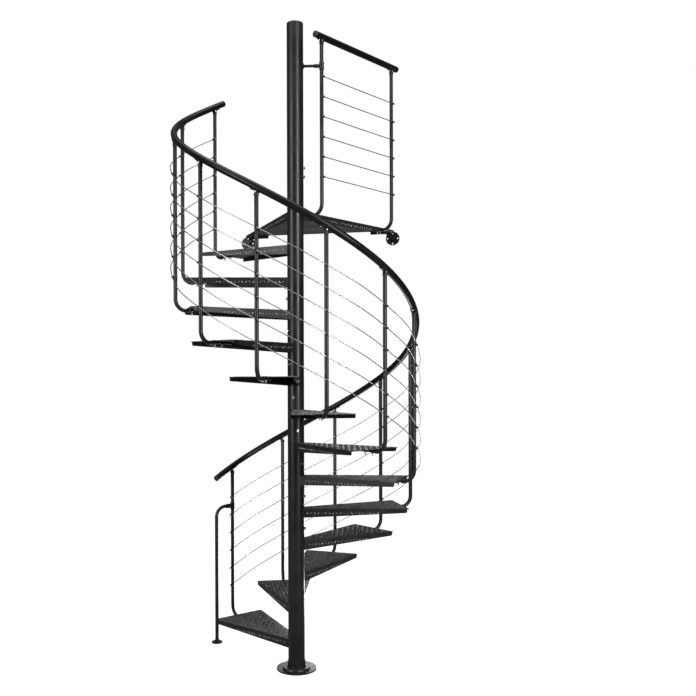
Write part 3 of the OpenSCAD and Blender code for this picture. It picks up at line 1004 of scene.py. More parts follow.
@dataclass
class ChequerPlates:
    """The treads and the landing: their coat, and the studs rolled into their sheet."""

    kit: Kit
    pitch: float = 24 * MM
    margin: float = 6 * MM
    stud_l: float = 21 * MM
    stud_w: float = 7.4 * MM
    stud_h: float = 2.0 * MM
    stud_sunk: float = 0.4 * MM
    flange_start: float = 62 * MM
    notch: float = 20 * MM
    hub_clear: float = 8.4 * MM
    sharp: float = 80.0
    tree: StudTree = field(default_factory=StudTree)

    def stud(self) -> bpy.types.Object:
        """Makes one lens-shaped stud with sloping sides."""
        half_l, half_w = self.stud_l / 2, self.stud_w / 2
        outline = [(1, 0), (0.5, 0.78), (0, 1), (-0.5, 0.78), (-1, 0), (-0.5, -0.78), (0, -1),
                   (0.5, -0.78)]
        shell = Shell()
        shell.loft(
            [
                [Vector((x * half_l * a, y * half_w * b, z)) for x, y in outline]
                for a, b, z in ((1.0, 1.0, -self.stud_sunk), (0.80, 0.48, self.stud_h))
            ]
        )
        return shell.object("stud_pattern", self.sharp)

    def cover(self, outline: Sequence[tuple[float, float]], clear: float, seed: int,
              stud: bpy.types.Object) -> bpy.types.Mesh:
        """Grows studs over one flat outline.

        Args:
            outline: its corners, in the plate's own plane.
            clear: radius round the plane's origin that stays bare.
            seed: seed of the slight differences between studs.
            stud: the stud to copy.

        Returns:
            The studs' mesh, in the plate's own plane.
        """
        flat = bpy.data.meshes.new("plate_outline")
        flat.from_pydata([(x, y, 0.0) for x, y in outline], [], [tuple(range(len(outline)))])
        xs, ys = [p[0] for p in outline], [p[1] for p in outline]
        shift = 0.37 * self.pitch * (seed % 5)

        def odd(size: float) -> int:
            """Odd number of studs that spans a size with some to spare."""
            return 2 * math.ceil(size / self.pitch / 2) + 5

        return self.tree.grow(
            flat,
            {
                "Pitch": self.pitch,
                "Columns": odd(max(xs) - min(xs)),
                "Rows": odd(max(ys) - min(ys)),
                "Centre": ((max(xs) + min(xs)) / 2 + shift % self.pitch, (max(ys) + min(ys)) / 2,
                           0.0),
                "Clear Radius": clear,
                "Seed": seed,
                "Stud": stud,
                "Finish": self.kit.finishes.studs,
            },
        )

    def top(self, sheet: Sheet) -> list[tuple[float, float]]:
        """Outline of a plate's top, inside its margin."""
        inset = self.margin / math.cos(sheet.slope)
        far, cut = sheet.reach - self.margin, self.kit.plan.corner_r * 0.6

        def edge(x: float) -> float:
            """Half the width of the studded field at a distance from the pole."""
            return sheet.root + math.tan(sheet.slope) * x - inset

        right = [(0.0, -edge(0.0)), (far - cut, -edge(far - cut)), (far, -edge(far) + cut)]
        return right + [(x, -y) for x, y in reversed(right)]

    def flange(self, sheet: Sheet, side: Side,
               span: tuple[float, float]) -> tuple[list[tuple[float, float]], Matrix]:
        """Outline and frame of a stretch of a slanting flange.

        Args:
            sheet: the plate's shape.
            side: which slanting edge.
            span: the stretch, as distances along the edge.

        Returns:
            The outline in the flange's plane, and the frame of that plane.
        """
        plan, slope, up = self.kit.plan, sheet.slope, -side.value

        def depth(along: float) -> float:
            """Depth of the flange at a distance along its edge."""
            share = along * math.cos(slope) / sheet.reach
            return plan.flange_root + (plan.flange_tip - plan.flange_root) * share

        outline = [
            (span[0], up * (self.margin - depth(span[0]))),
            (span[1], up * (self.margin - depth(span[1]))),
            (span[1], -up * self.margin),
            (span[0], -up * self.margin),
        ]
        out = Vector((-math.sin(slope), side.value * math.cos(slope), 0))
        along = Vector((math.cos(slope), side.value * math.sin(slope), 0))
        place = Matrix.Identity(4)
        place.col[0][:3], place.col[1][:3], place.col[2][:3] = along, (0, 0, up), out
        return outline, moved(y=side.value * sheet.root) @ place

    def flange_end(self, sheet: Sheet) -> float:
        """Distance along a slanting edge to where the studs of its flange stop."""
        corner = self.kit.plan.corner_r * (1 + math.sin(sheet.slope))
        return (sheet.reach - corner) / math.cos(sheet.slope) - self.margin

    def plate(self, name: str, place: Matrix, sheet: Sheet, seed: int,
              spans: dict[Side, list[tuple[float, float]]], stud: bpy.types.Object) -> None:
        """Covers one plate's top and flanges.

        Args:
            name: the piece's name.
            place: the plate's frame.
            sheet: its shape.
            seed: seed of the slight differences.
            spans: the stretches of each slanting flange that are bare of notches.
            stud: the stud to copy.
        """
        faces = [(self.top(sheet), Matrix(), self.kit.plan.hub_r + self.hub_clear)]
        for side, stretches in spans.items():
            faces += [(*self.flange(sheet, side, span), 0.0) for span in stretches]
        fields = []
        for number, (outline, where, clear) in enumerate(faces):
            grown = self.cover(outline, clear, seed + number, stud)
            grown.transform(place @ where)
            fields.append(grown)
        mesh = merged(name, fields)
        smooth_over(mesh, self.sharp)
        Piece.dress(placed(name, mesh), self.kit.finishes.studs, Slot.PLATE)

    def dress(self) -> None:
        """Coats the plates and covers them with studs."""
        plan, stud, start = self.kit.plan, self.stud(), self.flange_start
        sheet = plan.tread_sheet
        whole = [(start, self.flange_end(sheet))]
        for k in range(1, plan.treads + 1):
            Piece.coat(f"tread_{k:02d}", self.kit.finishes.plate)
            self.plate(f"tread_{k:02d}_studs", plan.tread(k), sheet, 7 * k,
                       {Side.LEFT: whole, Side.RIGHT: whole}, stud)
        Piece.coat("landing_plate", self.kit.finishes.plate)
        sheet = plan.landing_sheet
        inner, outer, stop = plan.guard_inner, plan.guard_outer, self.flange_end(sheet)
        spans = {
            Side.LEFT: [(start, stop)],
            Side.RIGHT: [(inner + self.notch, outer - self.notch), (outer + self.notch, stop)],
        }
        self.plate("landing_studs", plan.landing(), sheet, 3, spans, stud)
        bpy.data.objects.remove(stud)


@dataclass
class BentPosts:
    """Balusters and guard posts: a tube that bends in at its foot and is pressed flat there."""

    kit: Kit
    bend_r: float = 72 * MM
    crimp: float = 20 * MM
    lug_half_w: float = 17 * MM
    lug_half_t: float = 4 * MM
    drop: float = 15.8 * MM
    sides: int = 24
    lip: float = 1.2 * MM
    tread_lug: float = 140 * MM
    guard_lug: float = 50 * MM
    crimp_steps: int = 8
    bend_steps: int = 12

    def section(self, centre: Vector, up: Vector, half_w: float, half_h: float,
                power: float) -> Ring:
        """One ring across the tube's run.

        Args:
            centre: its centre.
            up: the direction of its height.
            half_w: half its width, along Y.
            half_h: half its height.
            power: how square it is.

        Returns:
            The ring.
        """
        return [
            centre + Vector((0, across, 0)) + up * rise
            for across, rise in oval(half_w, half_h, power, self.sides)
        ]

    def shape(self, shell: Shell, place: Matrix, offset: float, top: float, lug: float) -> None:
        """Builds one post.

        Args:
            shell: the mesh it goes into.
            place: frame on the plate's edge; +X points out across it.
            offset: from the edge to the post's axis.
            top: height of its top above the plate.
            lug: length of its flattened lug.
        """
        radius = self.kit.plan.post_r
        bend_x = offset - self.bend_r
        root = bend_x - self.crimp
        tip = root - lug
        up = Vector((0, 0, 1))
        rings: list[Ring] = []
        for share in (0.0, 0.04, 0.15, 0.32, 0.55, 0.8, 1.0):
            reach = self.lug_half_w * (1 - share)
            half = math.sqrt(max(self.lug_half_w**2 - reach**2, (2 * MM) ** 2))
            spot = Vector((tip + self.lug_half_w * share, 0, -self.drop))
            thin = self.lug_half_t * (0.8 if share == 0.0 else 1.0)
            rings.append(self.section(spot, up, half, thin, 4.0 + 4 * share))
        for step in range(self.crimp_steps + 1):
            share = step / self.crimp_steps
            wide = radius + (self.lug_half_w - radius) * (1 - eased(share / 0.35))
            high = self.lug_half_t + (radius - self.lug_half_t) * eased(share)
            spot = Vector((root + self.crimp * share, 0, -self.drop))
            rings.append(self.section(spot, up, wide, high, 8.0 - 6 * eased(share / 0.8)))
        for step in range(1, self.bend_steps + 1):
            angle = math.radians(90 * step / self.bend_steps)
            spot = Vector((bend_x + self.bend_r * math.sin(angle), 0,
                           -self.drop + self.bend_r * (1 - math.cos(angle))))
            lean = Vector((-math.sin(angle), 0, math.cos(angle)))
            rings.append(self.section(spot, lean, radius, radius, 2.0))
        lean = Vector((-1, 0, 0))
        for height, inset in ((top - self.lip, 0.0), (top - 0.35 * self.lip, 0.3 * self.lip),
                              (top, self.lip)):
            rings.append(self.section(Vector((offset, 0, height)), lean, radius - inset,
                                      radius - inset, 2.0))
        shell.loft([[place @ point for point in ring] for ring in rings])

    def dress(self) -> None:
        """Builds every baluster and guard post."""
        plan, coat = self.kit.plan, self.kit.finishes.coat
        for k in range(1, plan.treads + 1):
            shell = Shell()
            self.shape(shell, plan.tread(k) @ moved(x=plan.tread_reach),
                       plan.post_circle - plan.tread_reach, plan.post_top, self.tread_lug)
            name = f"baluster_{k:02d}"
            Piece.dress(shell.object(name + "_tube"), coat, Slot.COAT, [name])
        for name, along in (("guard_post_inner", plan.guard_inner),
                            ("guard_post_outer", plan.guard_outer)):
            shell = Shell()
            self.shape(shell, plan.guard(along), plan.guard_offset, plan.guard_post_top,
                       self.guard_lug)
            Piece.dress(shell.object(name + "_tube"), coat, Slot.COAT, [name])


@dataclass
class Rails:
    """The helical handrail, the straight guard rail, and their end caps."""

    kit: Kit
    lead: float = 11.1
    tail: float = 6.2
    overhang: float = 66 * MM
    cap_l: float = 12 * MM
    rounding: float = 6 * MM
    sides: int = 32
    steps: int = 260

    def cap(self, shell: Shell, place: Matrix) -> None:
        """Adds an end cap whose face points along the local +Z; the frame is on that face."""
        radius = self.kit.plan.rail_r
        turn = [math.radians(15 * step) for step in range(7)]
        profile = [(radius * 0.8, -self.cap_l - 4 * MM), (radius - 1.0 * MM, -self.cap_l - 3 * MM),
                   (radius - 1.0 * MM, -self.cap_l), (radius, -self.cap_l + 0.4 * MM)]
        profile += [
            (radius - self.rounding * (1 - math.cos(t)), -self.rounding * (1 - math.sin(t)))
            for t in turn
        ]
        profile.append((radius * 0.3, 0.5 * MM))
        shell.lathe(profile, self.sides, place)

    def dress(self) -> None:
        """Builds both rails."""
        self.flight()
        self.guard()

    def flight(self) -> None:
        """Builds the rail over the flight."""
        plan = self.kit.plan
        climb = plan.rise / math.radians(plan.turn_step)
        height = plan.first_rise + plan.post_top + plan.rail_lift
        trim = math.degrees(self.cap_l / plan.post_circle) * math.cos(
            math.radians(plan.rail_slope))
        start, end = -self.lead, plan.flight_turn + self.tail
        mesh = self.kit.helix.grow(
            bpy.data.meshes.new("rail_seed"),
            {
                "Radius": plan.post_circle,
                "Bow": 0.0,
                "Bow Turn": 1.0,
                "Start": math.radians(start + trim),
                "End": math.radians(end - trim),
                "First Direction": math.radians(plan.first_dir),
                "Base Height": height,
                "Climb": climb,
                "Steps": self.steps,
                "Thickness": plan.rail_r,
                "Sides": self.sides,
                "Finish": self.kit.finishes.rail,
            },
        )
        mesh.name = "handrail_cover"
        smooth_over(mesh, BAR_EDGE, outward=True)
        made = placed("handrail_cover", mesh)
        Piece.dress(made, self.kit.finishes.rail, Slot.RAIL, ["handrail"])
        caps = Shell()
        for angle, way in ((start, -1), (end, 1)):
            facing = math.radians(plan.first_dir - angle)
            out = Vector((math.cos(facing), math.sin(facing), 0))
            along = Vector((math.sin(facing), -math.cos(facing), 0)) * plan.post_circle
            along.z = climb
            spot = out * plan.post_circle + Vector((0, 0, height + climb * math.radians(angle)))
            aim = (along.normalized() * way).to_track_quat("Z", "Y").to_matrix().to_4x4()
            self.cap(caps, Matrix.Translation(spot) @ aim)
        Piece.dress(caps.object("handrail_end_caps"), self.kit.finishes.cap, Slot.CAP)

    def guard(self) -> None:
        """Builds the rail beside the landing."""
        plan = self.kit.plan
        height = plan.guard_post_top + plan.guard_rail_lift
        bar, caps = Shell(), Shell()
        inner = plan.guard_post(plan.guard_inner - self.overhang) @ moved(z=height)
        outer = plan.guard_post(plan.guard_outer + self.overhang) @ moved(z=height)
        length = plan.guard_outer - plan.guard_inner + 2 * self.overhang
        run = inner @ turned(-90, "X")
        bar.lathe([(plan.rail_r, self.cap_l), (plan.rail_r, length / 2),
                   (plan.rail_r, length - self.cap_l)], self.sides, run)
        self.cap(caps, inner @ turned(90, "X"))
        self.cap(caps, outer @ turned(-90, "X"))
        Piece.dress(bar.object("guard_rail_cover"), self.kit.finishes.rail, Slot.RAIL,
                    ["guard_handrail"])
        Piece.dress(caps.object("guard_rail_end_caps"), self.kit.finishes.cap, Slot.CAP)


@dataclass
class Brackets:
    """Swivel brackets that hold the rails on the posts, with the screws up into the rail."""

    kit: Kit
    length: float = 62 * MM
    thick: float = 4 * MM
    gap: float = 0.4 * MM
    half_angle: float = 56.0
    screw_at: float = 20 * MM
    stations: int = 12
    facets: int = 8

    def saddle(self, shell: Shell, rail: Matrix) -> None:
        """Adds the curved plate under the rail; the frame is on the rail's axis, along its Z."""
        inner = self.kit.plan.rail_r + self.gap
        rings: list[Ring] = []
        for i in range(self.stations + 1):
            place = -1 + 2 * i / self.stations
            along, share = place * self.length / 2, math.sqrt(1 - 0.72 * abs(place) ** 6)
            ring = []
            spread = [math.radians(-90 + self.half_angle * share * (2 * j / self.facets - 1))
                      for j in range(self.facets + 1)]
            for radius, turn in ((inner, spread), (inner + self.thick, spread[::-1])):
                ring += [rail @ Vector((radius * math.cos(t), radius * math.sin(t), along))
                         for t in turn]
            rings.append(ring)
        shell.loft(rings)

    def bracket(self, lift: float, slope: float) -> tuple[Shell, Shell]:
        """One bracket and its screws, round a frame on the post's top.

        Args:
            lift: height of the rail's axis above the post's top.
            slope: slope of the rail in degrees; it climbs towards -Y.

        Returns:
            The bracket and the screws.
        """
        body, screws = Shell(), Shell()
        post_r = self.kit.plan.post_r
        body.lathe([(post_r, -16 * MM), (post_r + 2.4 * MM, -15 * MM),
                    (post_r + 2.8 * MM, -3 * MM), (post_r + 1.2 * MM, 1.2 * MM),
                    (9.4 * MM, 3.0 * MM), (8.8 * MM, 4.0 * MM), (10.6 * MM, 5.6 * MM),
                    (11.4 * MM, 8.0 * MM), (10.6 * MM, 10.4 * MM), (8.0 * MM, lift - 23.0 * MM),
                    (7.0 * MM, lift - 21.5 * MM)], 20)
        rail = moved(z=lift) @ turned(90 - slope, "X")
        self.saddle(body, rail)
        pin = moved(z=7.6 * MM) @ turned(90, "Y")
        screws.lathe([(4.0 * MM, -15.4 * MM), (5.6 * MM, -14.4 * MM), (5.6 * MM, 14.4 * MM),
                      (4.0 * MM, 15.4 * MM)], 14, pin)
        under = self.kit.plan.rail_r + self.gap + self.thick
        for way in (-1, 1):
            head = rail @ moved(y=-under + 0.4 * MM, z=way * self.screw_at) @ turned(90, "X")
            screws.lathe([(5.4 * MM, 0.0), (5.4 * MM, 1.2 * MM), (4.4 * MM, 2.8 * MM),
                          (2.4 * MM, 3.6 * MM), (2.0 * MM, 2.0 * MM)], 12, head)
        return body, screws

    def dress(self) -> None:
        """Builds every bracket."""
        plan, finishes = self.kit.plan, self.kit.finishes
        flight = [plan.post(k) @ moved(z=plan.post_top) for k in range(1, plan.treads + 1)]
        guard = [plan.guard_post(along) @ moved(z=plan.guard_post_top)
                 for along in (plan.guard_inner, plan.guard_outer)]
        fix = self.kit.fix
        body, screws = self.bracket(plan.rail_lift, plan.rail_slope)
        fix("rail_bracket_bodies", body, flight, finishes.coat, Slot.COAT, ["rail_brackets"])
        fix("rail_bracket_screws", screws, flight, finishes.bolt, Slot.BOLT)
        body, screws = self.bracket(plan.guard_rail_lift, 0.0)
        fix("guard_bracket_bodies", body, guard, finishes.coat, Slot.COAT)
        fix("guard_bracket_screws", screws, guard, finishes.bolt, Slot.BOLT)


@dataclass
class Infill:
    """The bright rods, the turned clips that hold them, and the clips' screws."""

    kit: Kit
    rod_r: float = 3 * MM
    first: float = 195 * MM
    pitch: float = 129 * MM
    guard_first: float = 224 * MM
    guard_pitch: float = 130 * MM
    bow: float = 8 * MM
    stub: float = 16 * MM
    clip_r: float = 7 * MM
    chamfer: float = 0.6 * MM
    steps: int = 150
    sides: int = 12

    def rods(self) -> None:
        """Builds the rods of the flight and of the guard."""
        plan = self.kit.plan
        reach = plan.post_circle + plan.rod_offset
        stub = self.stub / reach
        bent = []
        for i in range(plan.rods):
            mesh = self.kit.helix.grow(
                bpy.data.meshes.new("rod_seed"),
                {
                    "Radius": reach,
                    "Bow": self.bow,
                    "Bow Turn": math.radians(plan.turn_step),
                    "Start": -stub,
                    "End": math.radians(plan.flight_turn) + stub,
                    "First Direction": math.radians(plan.first_dir),
                    "Base Height": plan.first_rise + self.first + i * self.pitch,
                    "Climb": plan.rise / math.radians(plan.turn_step),
                    "Steps": self.steps,
                    "Thickness": self.rod_r,
                    "Sides": self.sides,
                    "Finish": self.kit.finishes.rod,
                },
            )
            bent.append(mesh)
        mesh = merged("infill_rods_drawn", bent)
        smooth_over(mesh, BAR_EDGE, outward=True)
        made = placed("infill_rods_drawn", mesh)
        Piece.dress(made, self.kit.finishes.rod, Slot.ROD, ["infill_rods"])
        straight = Shell()
        length = plan.guard_outer - plan.guard_inner + 2 * self.stub
        end = self.rod_r - self.chamfer
        for i in range(plan.rods):
            run = plan.guard_post(plan.guard_inner - self.stub) @ moved(
                x=plan.rod_offset, z=self.guard_first + i * self.guard_pitch
            ) @ turned(-90, "X")
            straight.lathe([(end, 0.0), (self.rod_r, self.chamfer), (self.rod_r, length / 2),
                            (self.rod_r, length - self.chamfer), (end, length)], self.sides, run)
        Piece.dress(straight.object("guard_rods_drawn"), self.kit.finishes.rod, Slot.ROD,
                    ["guard_rods"])

    def clip(self) -> Shell:
        """One turned clip, whose axis is its frame's Z and whose frame is on the post's axis."""
        shell = Shell()
        post_r, r = self.kit.plan.post_r, self.clip_r
        head = self.kit.plan.rod_offset + self.rod_r + 3 * MM
        shell.lathe([(r - 0.8 * MM, post_r - 2.2 * MM), (r, post_r - 1.4 * MM),
                     (r, post_r + 1.2 * MM), (r - 1.6 * MM, post_r + 1.7 * MM),
                     (r - 1.6 * MM, post_r + 2.3 * MM), (r, post_r + 2.8 * MM),
                     (r, head - 1.2 * MM), (r - 0.4 * MM, head - 0.4 * MM),
                     (r - 1.4 * MM, head)], 16)
        return shell

    def screw(self) -> Shell:
        """One button-head screw on the inner face of a post, with a socket in its head."""
        shell = Shell()
        face = -self.kit.plan.post_r
        shell.lathe([(1.5 * MM, face - 1.4 * MM), (1.7 * MM, face - 2.7 * MM),
                     (2.8 * MM, face - 2.6 * MM), (4.2 * MM, face - 1.8 * MM),
                     (5.0 * MM, face - 0.6 * MM), (5.0 * MM, face + 1.2 * MM),
                     (3.0 * MM, face + 1.6 * MM)], 12)
        return shell

    def dress(self) -> None:
        """Builds the rods, clips and screws."""
        plan, finishes = self.kit.plan, self.kit.finishes
        self.rods()
        places = []
        for i in range(plan.rods):
            for k in range(1, plan.treads + 1):
                places.append(plan.post(k) @ moved(z=self.first + i * self.pitch))
            for along in (plan.guard_inner, plan.guard_outer):
                places.append(plan.guard_post(along)
                              @ moved(z=self.guard_first + i * self.guard_pitch))
        places = [place @ turned(90, "Y") for place in places]
        self.kit.fix("rod_clips_turned", self.clip(), places, finishes.coat, Slot.COAT,
                     ["rod_clips"])
        self.kit.fix("rod_clip_screws", self.screw(), places, finishes.bolt, Slot.BOLT)


@dataclass
class LugBolts:
    """Bolts through the plates and the flattened lugs: domed heads, washers, nuts, threads."""

    kit: Kit
    at_tread: tuple[float, float] = (-33 * MM, -90 * MM)
    at_guard: tuple[float, float] = (-22 * MM, -46 * MM)
    head_r: float = 9 * MM
    washer_r: float = 9 * MM
    nut_r: float = 7.5 * MM
    nut_h: float = 7 * MM
    thread_r: float = 4 * MM
    thread_pitch: float = 1.25 * MM
    thread_turns: int = 10
    lug_bottom: float = -19.8 * MM

    def head(self) -> Shell:
        """One domed head, round a frame on the plate's top."""
        shell, r = Shell(), self.head_r
        shell.lathe([(r, -0.6 * MM), (r, 1.0 * MM), (r * 0.93, 1.9 * MM), (r * 0.75, 3.1 * MM),
                     (r * 0.5, 3.9 * MM), (r * 0.22, 4.3 * MM)], 20)
        return shell

    def nut(self) -> Shell:
        """One washer and nut with the bolt's end, under the lug, round the same frame."""
        shell, low = Shell(), self.lug_bottom
        shell.lathe([(self.washer_r - 0.3 * MM, low + 0.3 * MM), (self.washer_r, low),
                     (self.washer_r, low - 1.2 * MM), (self.washer_r - 0.4 * MM, low - 1.6 * MM)],
                    20)
        top, bottom = low - 1.5 * MM, low - 1.5 * MM - self.nut_h
        shell.lathe([(self.nut_r * 0.9, top), (self.nut_r, top - 0.7 * MM),
                     (self.nut_r, bottom + 0.7 * MM), (self.nut_r * 0.9, bottom)], 6)
        profile = []
        for turn in range(self.thread_turns):
            height = bottom + 0.5 * MM - turn * self.thread_pitch
            profile += [(self.thread_r, height), (self.thread_r - 0.6 * MM,
                                                  height - self.thread_pitch / 2)]
        profile.append((self.thread_r - 1.2 * MM, profile[-1][1] - 0.8 * MM))
        shell.lathe(profile, 14)
        return shell

    def dress(self) -> None:
        """Builds every bolt."""
        plan, coat, bright = self.kit.plan, self.kit.finishes.coat, self.kit.finishes.bolt
        places = [plan.tread(k) @ moved(x=plan.tread_reach + x)
                  for k in range(1, plan.treads + 1) for x in self.at_tread]
        places += [plan.guard(along) @ moved(x=x)
                   for along in (plan.guard_inner, plan.guard_outer) for x in self.at_guard]
        self.kit.fix("lug_bolt_heads", self.head(), places, coat, Slot.COAT)
        self.kit.fix("lug_nuts", self.nut(), places, bright, Slot.BOLT)


@dataclass
class Pole:
    """The pole with its cap, joint rings and locking screws, and the base plate."""

    kit: Kit
    joints: tuple[float, ...] = (0.664, 1.088, 2.831)
    ring_h: float = 1.6 * MM
    ring_proud: float = 0.35 * MM
    bead_r: float = 2.6 * MM
    base_t: float = 10 * MM
    boss_h: float = 8 * MM
    collar_r: float = 59.3 * MM
    bolt_circle: float = 112 * MM
    beads: int = 110
    bead_lean: float = 11.0
    floor_bolts: int = 4
    bolt_twist: float = 17.0

    def rings(self) -> Shell:
        """The joint rings."""
        plan, shell = self.kit.plan, Shell()
        outer = plan.pole_r + self.ring_proud
        for low in self.joints:
            shell.lathe([(plan.pole_r - 0.5 * MM, low), (outer, low + 0.3 * MM),
                         (outer, low + self.ring_h - 0.3 * MM),
                         (plan.pole_r - 0.5 * MM, low + self.ring_h)], 72, closed=True)
        return shell

    def bead(self) -> Shell:
        """One lump of a weld, longer than it is wide."""
        shell = Shell()
        r = self.bead_r
        shell.lathe([(r * 0.35, -0.9 * r), (r * 0.8, -0.55 * r), (r, 0.0), (r * 0.8, 0.55 * r),
                     (r * 0.35, 0.9 * r)], 8)
        return shell

    def floor_bolt(self) -> Shell:
        """One low countersunk floor screw with a socket in its head."""
        shell = Shell()
        shell.lathe([(5.2 * MM, -3.0 * MM), (6.6 * MM, -0.6 * MM), (6.6 * MM, 0.1 * MM),
                     (6.0 * MM, 0.6 * MM), (3.2 * MM, 0.7 * MM), (3.0 * MM, -1.2 * MM)], 24)
        return shell

    def dress(self) -> None:
        """Coats the pole and the base, and adds the rings, the weld and the floor bolts."""
        finishes, fix = self.kit.finishes, self.kit.fix
        for node, finish in (("base_plate", finishes.coat), ("pole_tube", finishes.coat),
                             ("pole_cap", finishes.cap), ("pole_screws", finishes.bolt)):
            Piece.coat(node, finish)
        Piece.dress(self.rings().object("pole_joint_rings", 50.0), finishes.coat, Slot.COAT)
        height = self.base_t + self.boss_h
        places = [
            turned(360 * i / self.beads) @ moved(x=self.collar_r + 0.3 * self.bead_r, z=height)
            @ turned(90, "X") @ turned(self.bead_lean * (i % 3), "Y")
            for i in range(self.beads)
        ]
        fix("collar_weld", self.bead(), places, finishes.coat, Slot.COAT)
        apart = 360 / self.floor_bolts
        places = [turned(apart * (i + 0.5)) @ moved(x=self.bolt_circle, z=self.base_t)
                  @ turned(self.bolt_twist * i) for i in range(self.floor_bolts)]
        fix("floor_bolts", self.floor_bolt(), places, finishes.coat, Slot.BOLT)


@dataclass
class Ends:
    """The start post, the strut, their clamps, and the floor-edge anchors."""

    kit: Kit
    start_turn: float = 10.0
    start_circle: float = 789 * MM
    arm_h: float = 974 * MM
    strut_h: float = 948 * MM
    foot_t: float = 8 * MM
    foot_screws_at: float = 28 * MM
    foot_screws: int = 3
    sleeve_r: float = 15.8 * MM
    strut_sleeve_r: float = 12.3 * MM
    sleeve_screws_at: float = 17 * MM
    start_arm_screw_at: float = 28 * MM
    strut_screw_at: float = 26 * MM

    def start(self) -> tuple[Matrix, float]:
        """Frame of the start post, with +X to the first baluster, and the way to it."""
        plan = self.kit.plan
        spot = turned(plan.first_dir + self.start_turn) @ Vector((self.start_circle, 0, 0))
        arm = turned(plan.first_dir) @ Vector((plan.post_circle, 0, 0)) - spot
        heading = math.degrees(math.atan2(arm.y, arm.x))
        return moved(spot.x, spot.y) @ turned(heading), arm.length

    def strut(self) -> tuple[Matrix, float]:
        """Frame of the strut, with +X from the pole to the inner guard post, and its reach."""
        plan = self.kit.plan
        spot = plan.guard_post(plan.guard_inner).translation
        heading = math.degrees(math.atan2(spot.y, spot.x))
        reach = math.hypot(spot.x, spot.y)
        return moved(z=plan.landing_top + self.strut_h) @ turned(heading), reach

    def set_screw(self) -> Shell:
        """One socket screw, whose head points along its frame's Z."""
        shell = Shell()
        shell.lathe([(2.0 * MM, -2.0 * MM), (3.4 * MM, -1.0 * MM), (3.4 * MM, 1.2 * MM),
                     (2.8 * MM, 1.7 * MM), (1.6 * MM, 1.7 * MM), (1.5 * MM, 0.5 * MM)], 12)
        return shell

    def countersunk(self) -> Shell:
        """One countersunk screw, flush in the foot."""
        shell = Shell()
        shell.lathe([(2.4 * MM, -1.5 * MM), (4.6 * MM, -0.1 * MM), (4.6 * MM, 0.4 * MM),
                     (3.9 * MM, 0.9 * MM), (1.3 * MM, 1.1 * MM), (1.2 * MM, 0.3 * MM)], 14)
        return shell

    def dress(self) -> None:
        """Coats these solids and adds their screws."""
        finishes, fix = self.kit.finishes, self.kit.fix
        for node in ("start_post", "start_foot", "guard_strut", "tee_clamps", "anchor_left",
                     "anchor_right"):
            Piece.coat(node, finishes.coat)
        start, arm = self.start()
        strut, reach = self.strut()
        places = []
        clamps = (
            (start @ moved(x=arm, z=self.arm_h), self.start_arm_screw_at, self.sleeve_r),
            (strut @ moved(x=reach), self.strut_screw_at, self.strut_sleeve_r),
        )
        for hub, back, face in clamps:
            for way in (-1, 1):
                places.append(hub @ moved(z=self.sleeve_screws_at * way) @ turned(90, "Y")
                              @ moved(z=self.sleeve_r))
            places.append(hub @ moved(x=-back) @ turned(90, "X") @ moved(z=face))
        fix("clamp_screws", self.set_screw(), places, finishes.bolt, Slot.BOLT)
        apart = 360 / self.foot_screws
        places = [start @ turned(apart * (i + 0.5)) @ moved(x=self.foot_screws_at, z=self.foot_t)
                  for i in range(self.foot_screws)]
        fix("foot_screws", self.countersunk(), places, finishes.bolt, Slot.BOLT)


# ---- The studio ---------------------------------------------------------------------------


@dataclass(frozen=True)
class Lamp:
    """One soft rectangular light, aimed at a point."""

    name: str
    spot: tuple[float, float, float]
    aim: tuple[float, float, float]
    size: tuple[float, float]
    power: float

    def hang(self) -> None:
        """Hangs the light."""
        data = bpy.data.lights.new(self.name, "AREA")
        data.shape = "RECTANGLE"
        data.size, data.size_y = self.size
        data.energy = self.power
        lamp = bpy.data.objects.new(self.name, data)
        way = Vector(self.aim) - Vector(self.spot)
        lamp.matrix_world = Matrix.Translation(self.spot) @ way.to_track_quat(
            "-Z", "Y").to_matrix().to_4x4()
        bpy.context.scene.collection.objects.link(lamp)


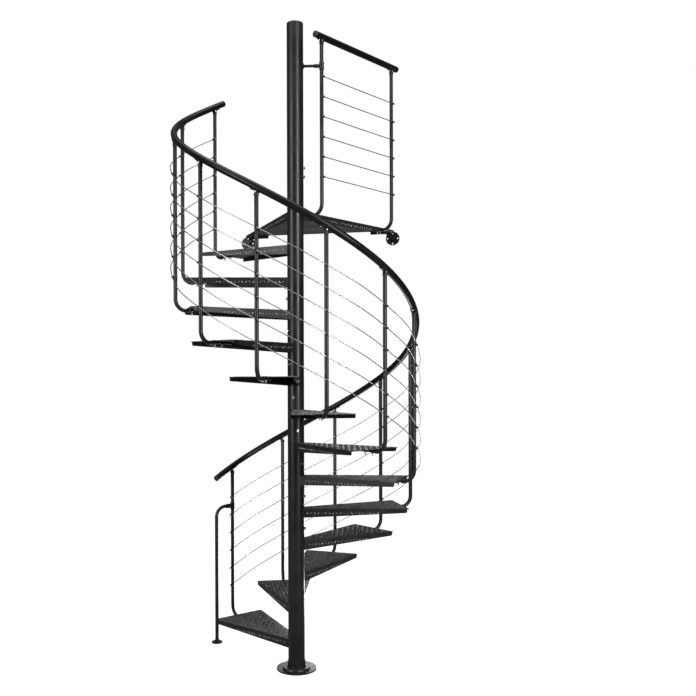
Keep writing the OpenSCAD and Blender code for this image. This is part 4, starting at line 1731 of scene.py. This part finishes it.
@dataclass
class Studio:
    """Pale floor, soft lights and the camera."""

    floor: float = 40.0
    sky: float = 1.0
    fill: float = 0.09
    eye: tuple[float, float, float] = (0.0836, -5.389, 1.918)
    pitch: float = -0.0073
    roll: float = -0.0027
    lens: float = 42.63
    sensor: float = 36.0
    shift: tuple[float, float] = (0.0566, 0.0487)
    lamps: tuple[Lamp, ...] = (
        Lamp("overhead", (0.0, -0.6, 7.0), (0.0, 0.0, 0.0), (5.0, 5.0), 210.0),
        Lamp("right_strip", (3.3, -4.6, 3.7), (0.0, 0.0, 3.3), (0.6, 4.6), 300.0),
        Lamp("left_softbox", (-4.6, -3.4, 3.6), (0.0, 0.0, 3.2), (2.6, 4.4), 210.0),
        Lamp("low_bounce", (0.5, 1.9, 0.3), (0.1, 0.4, 3.0), (1.4, 1.4), 60.0),
    )

    def build(self) -> None:
        """Builds the studio."""
        scene = bpy.context.scene
        half = self.floor / 2
        mesh = bpy.data.meshes.new("studio_floor")
        mesh.from_pydata([(-half, -half, 0), (half, -half, 0), (half, half, 0), (-half, half, 0)],
                         [], [(0, 1, 2, 3)])
        mesh.materials.append(Paper("studio_paper").make())
        placed("studio_floor", mesh)
        for lamp in self.lamps:
            lamp.hang()
        self.light_sky(scene)
        data = bpy.data.cameras.new("viewpoint")
        data.lens, data.sensor_width = self.lens, self.sensor
        data.shift_x, data.shift_y = self.shift
        camera = bpy.data.objects.new("viewpoint", data)
        camera.matrix_world = (
            Matrix.Translation(self.eye)
            @ Matrix.Rotation(math.pi / 2 + self.pitch, 4, "X")
            @ Matrix.Rotation(self.roll, 4, "Z")
        )
        scene.collection.objects.link(camera)
        scene.camera = camera
        scene.view_settings.view_transform = "Standard"
        LOG.info("studio: %d lamps", len(self.lamps))

    def light_sky(self, scene: bpy.types.Scene) -> None:
        """Lights the room evenly, with a clean white surround behind the object."""
        world = bpy.data.worlds.new("studio_sky")
        world.use_nodes = True
        scene.world = world
        nodes, links = world.node_tree.nodes, world.node_tree.links
        backdrop = nodes["Background"]
        backdrop.inputs["Color"].default_value = (1.0, 1.0, 1.0, 1.0)
        backdrop.inputs["Strength"].default_value = self.sky
        soft = nodes.new("ShaderNodeBackground")
        soft.inputs["Color"].default_value = (1.0, 1.0, 1.0, 1.0)
        soft.inputs["Strength"].default_value = self.fill
        mix = nodes.new("ShaderNodeMixShader")
        links.new(nodes.new("ShaderNodeLightPath").outputs["Is Camera Ray"], mix.inputs[0])
        links.new(soft.outputs[0], mix.inputs[1])
        links.new(backdrop.outputs[0], mix.inputs[2])
        links.new(mix.outputs[0], nodes["World Output"].inputs[0])


def main() -> None:
    """Builds the sub-assemblies in order, then the studio."""
    logging.basicConfig(level=logging.INFO, format="%(message)s")
    kit = Kit(Plan.read(), Finishes(), FixingTree(), HelixTree())
    makers: tuple[Callable[[Kit], Any], ...] = (
        Pole, ChequerPlates, BentPosts, Rails, Brackets, Infill, LugBolts, Ends,
    )
    for maker in makers:
        maker(kit).dress()
    Studio().build()


if __name__ == "__main__":
    main()
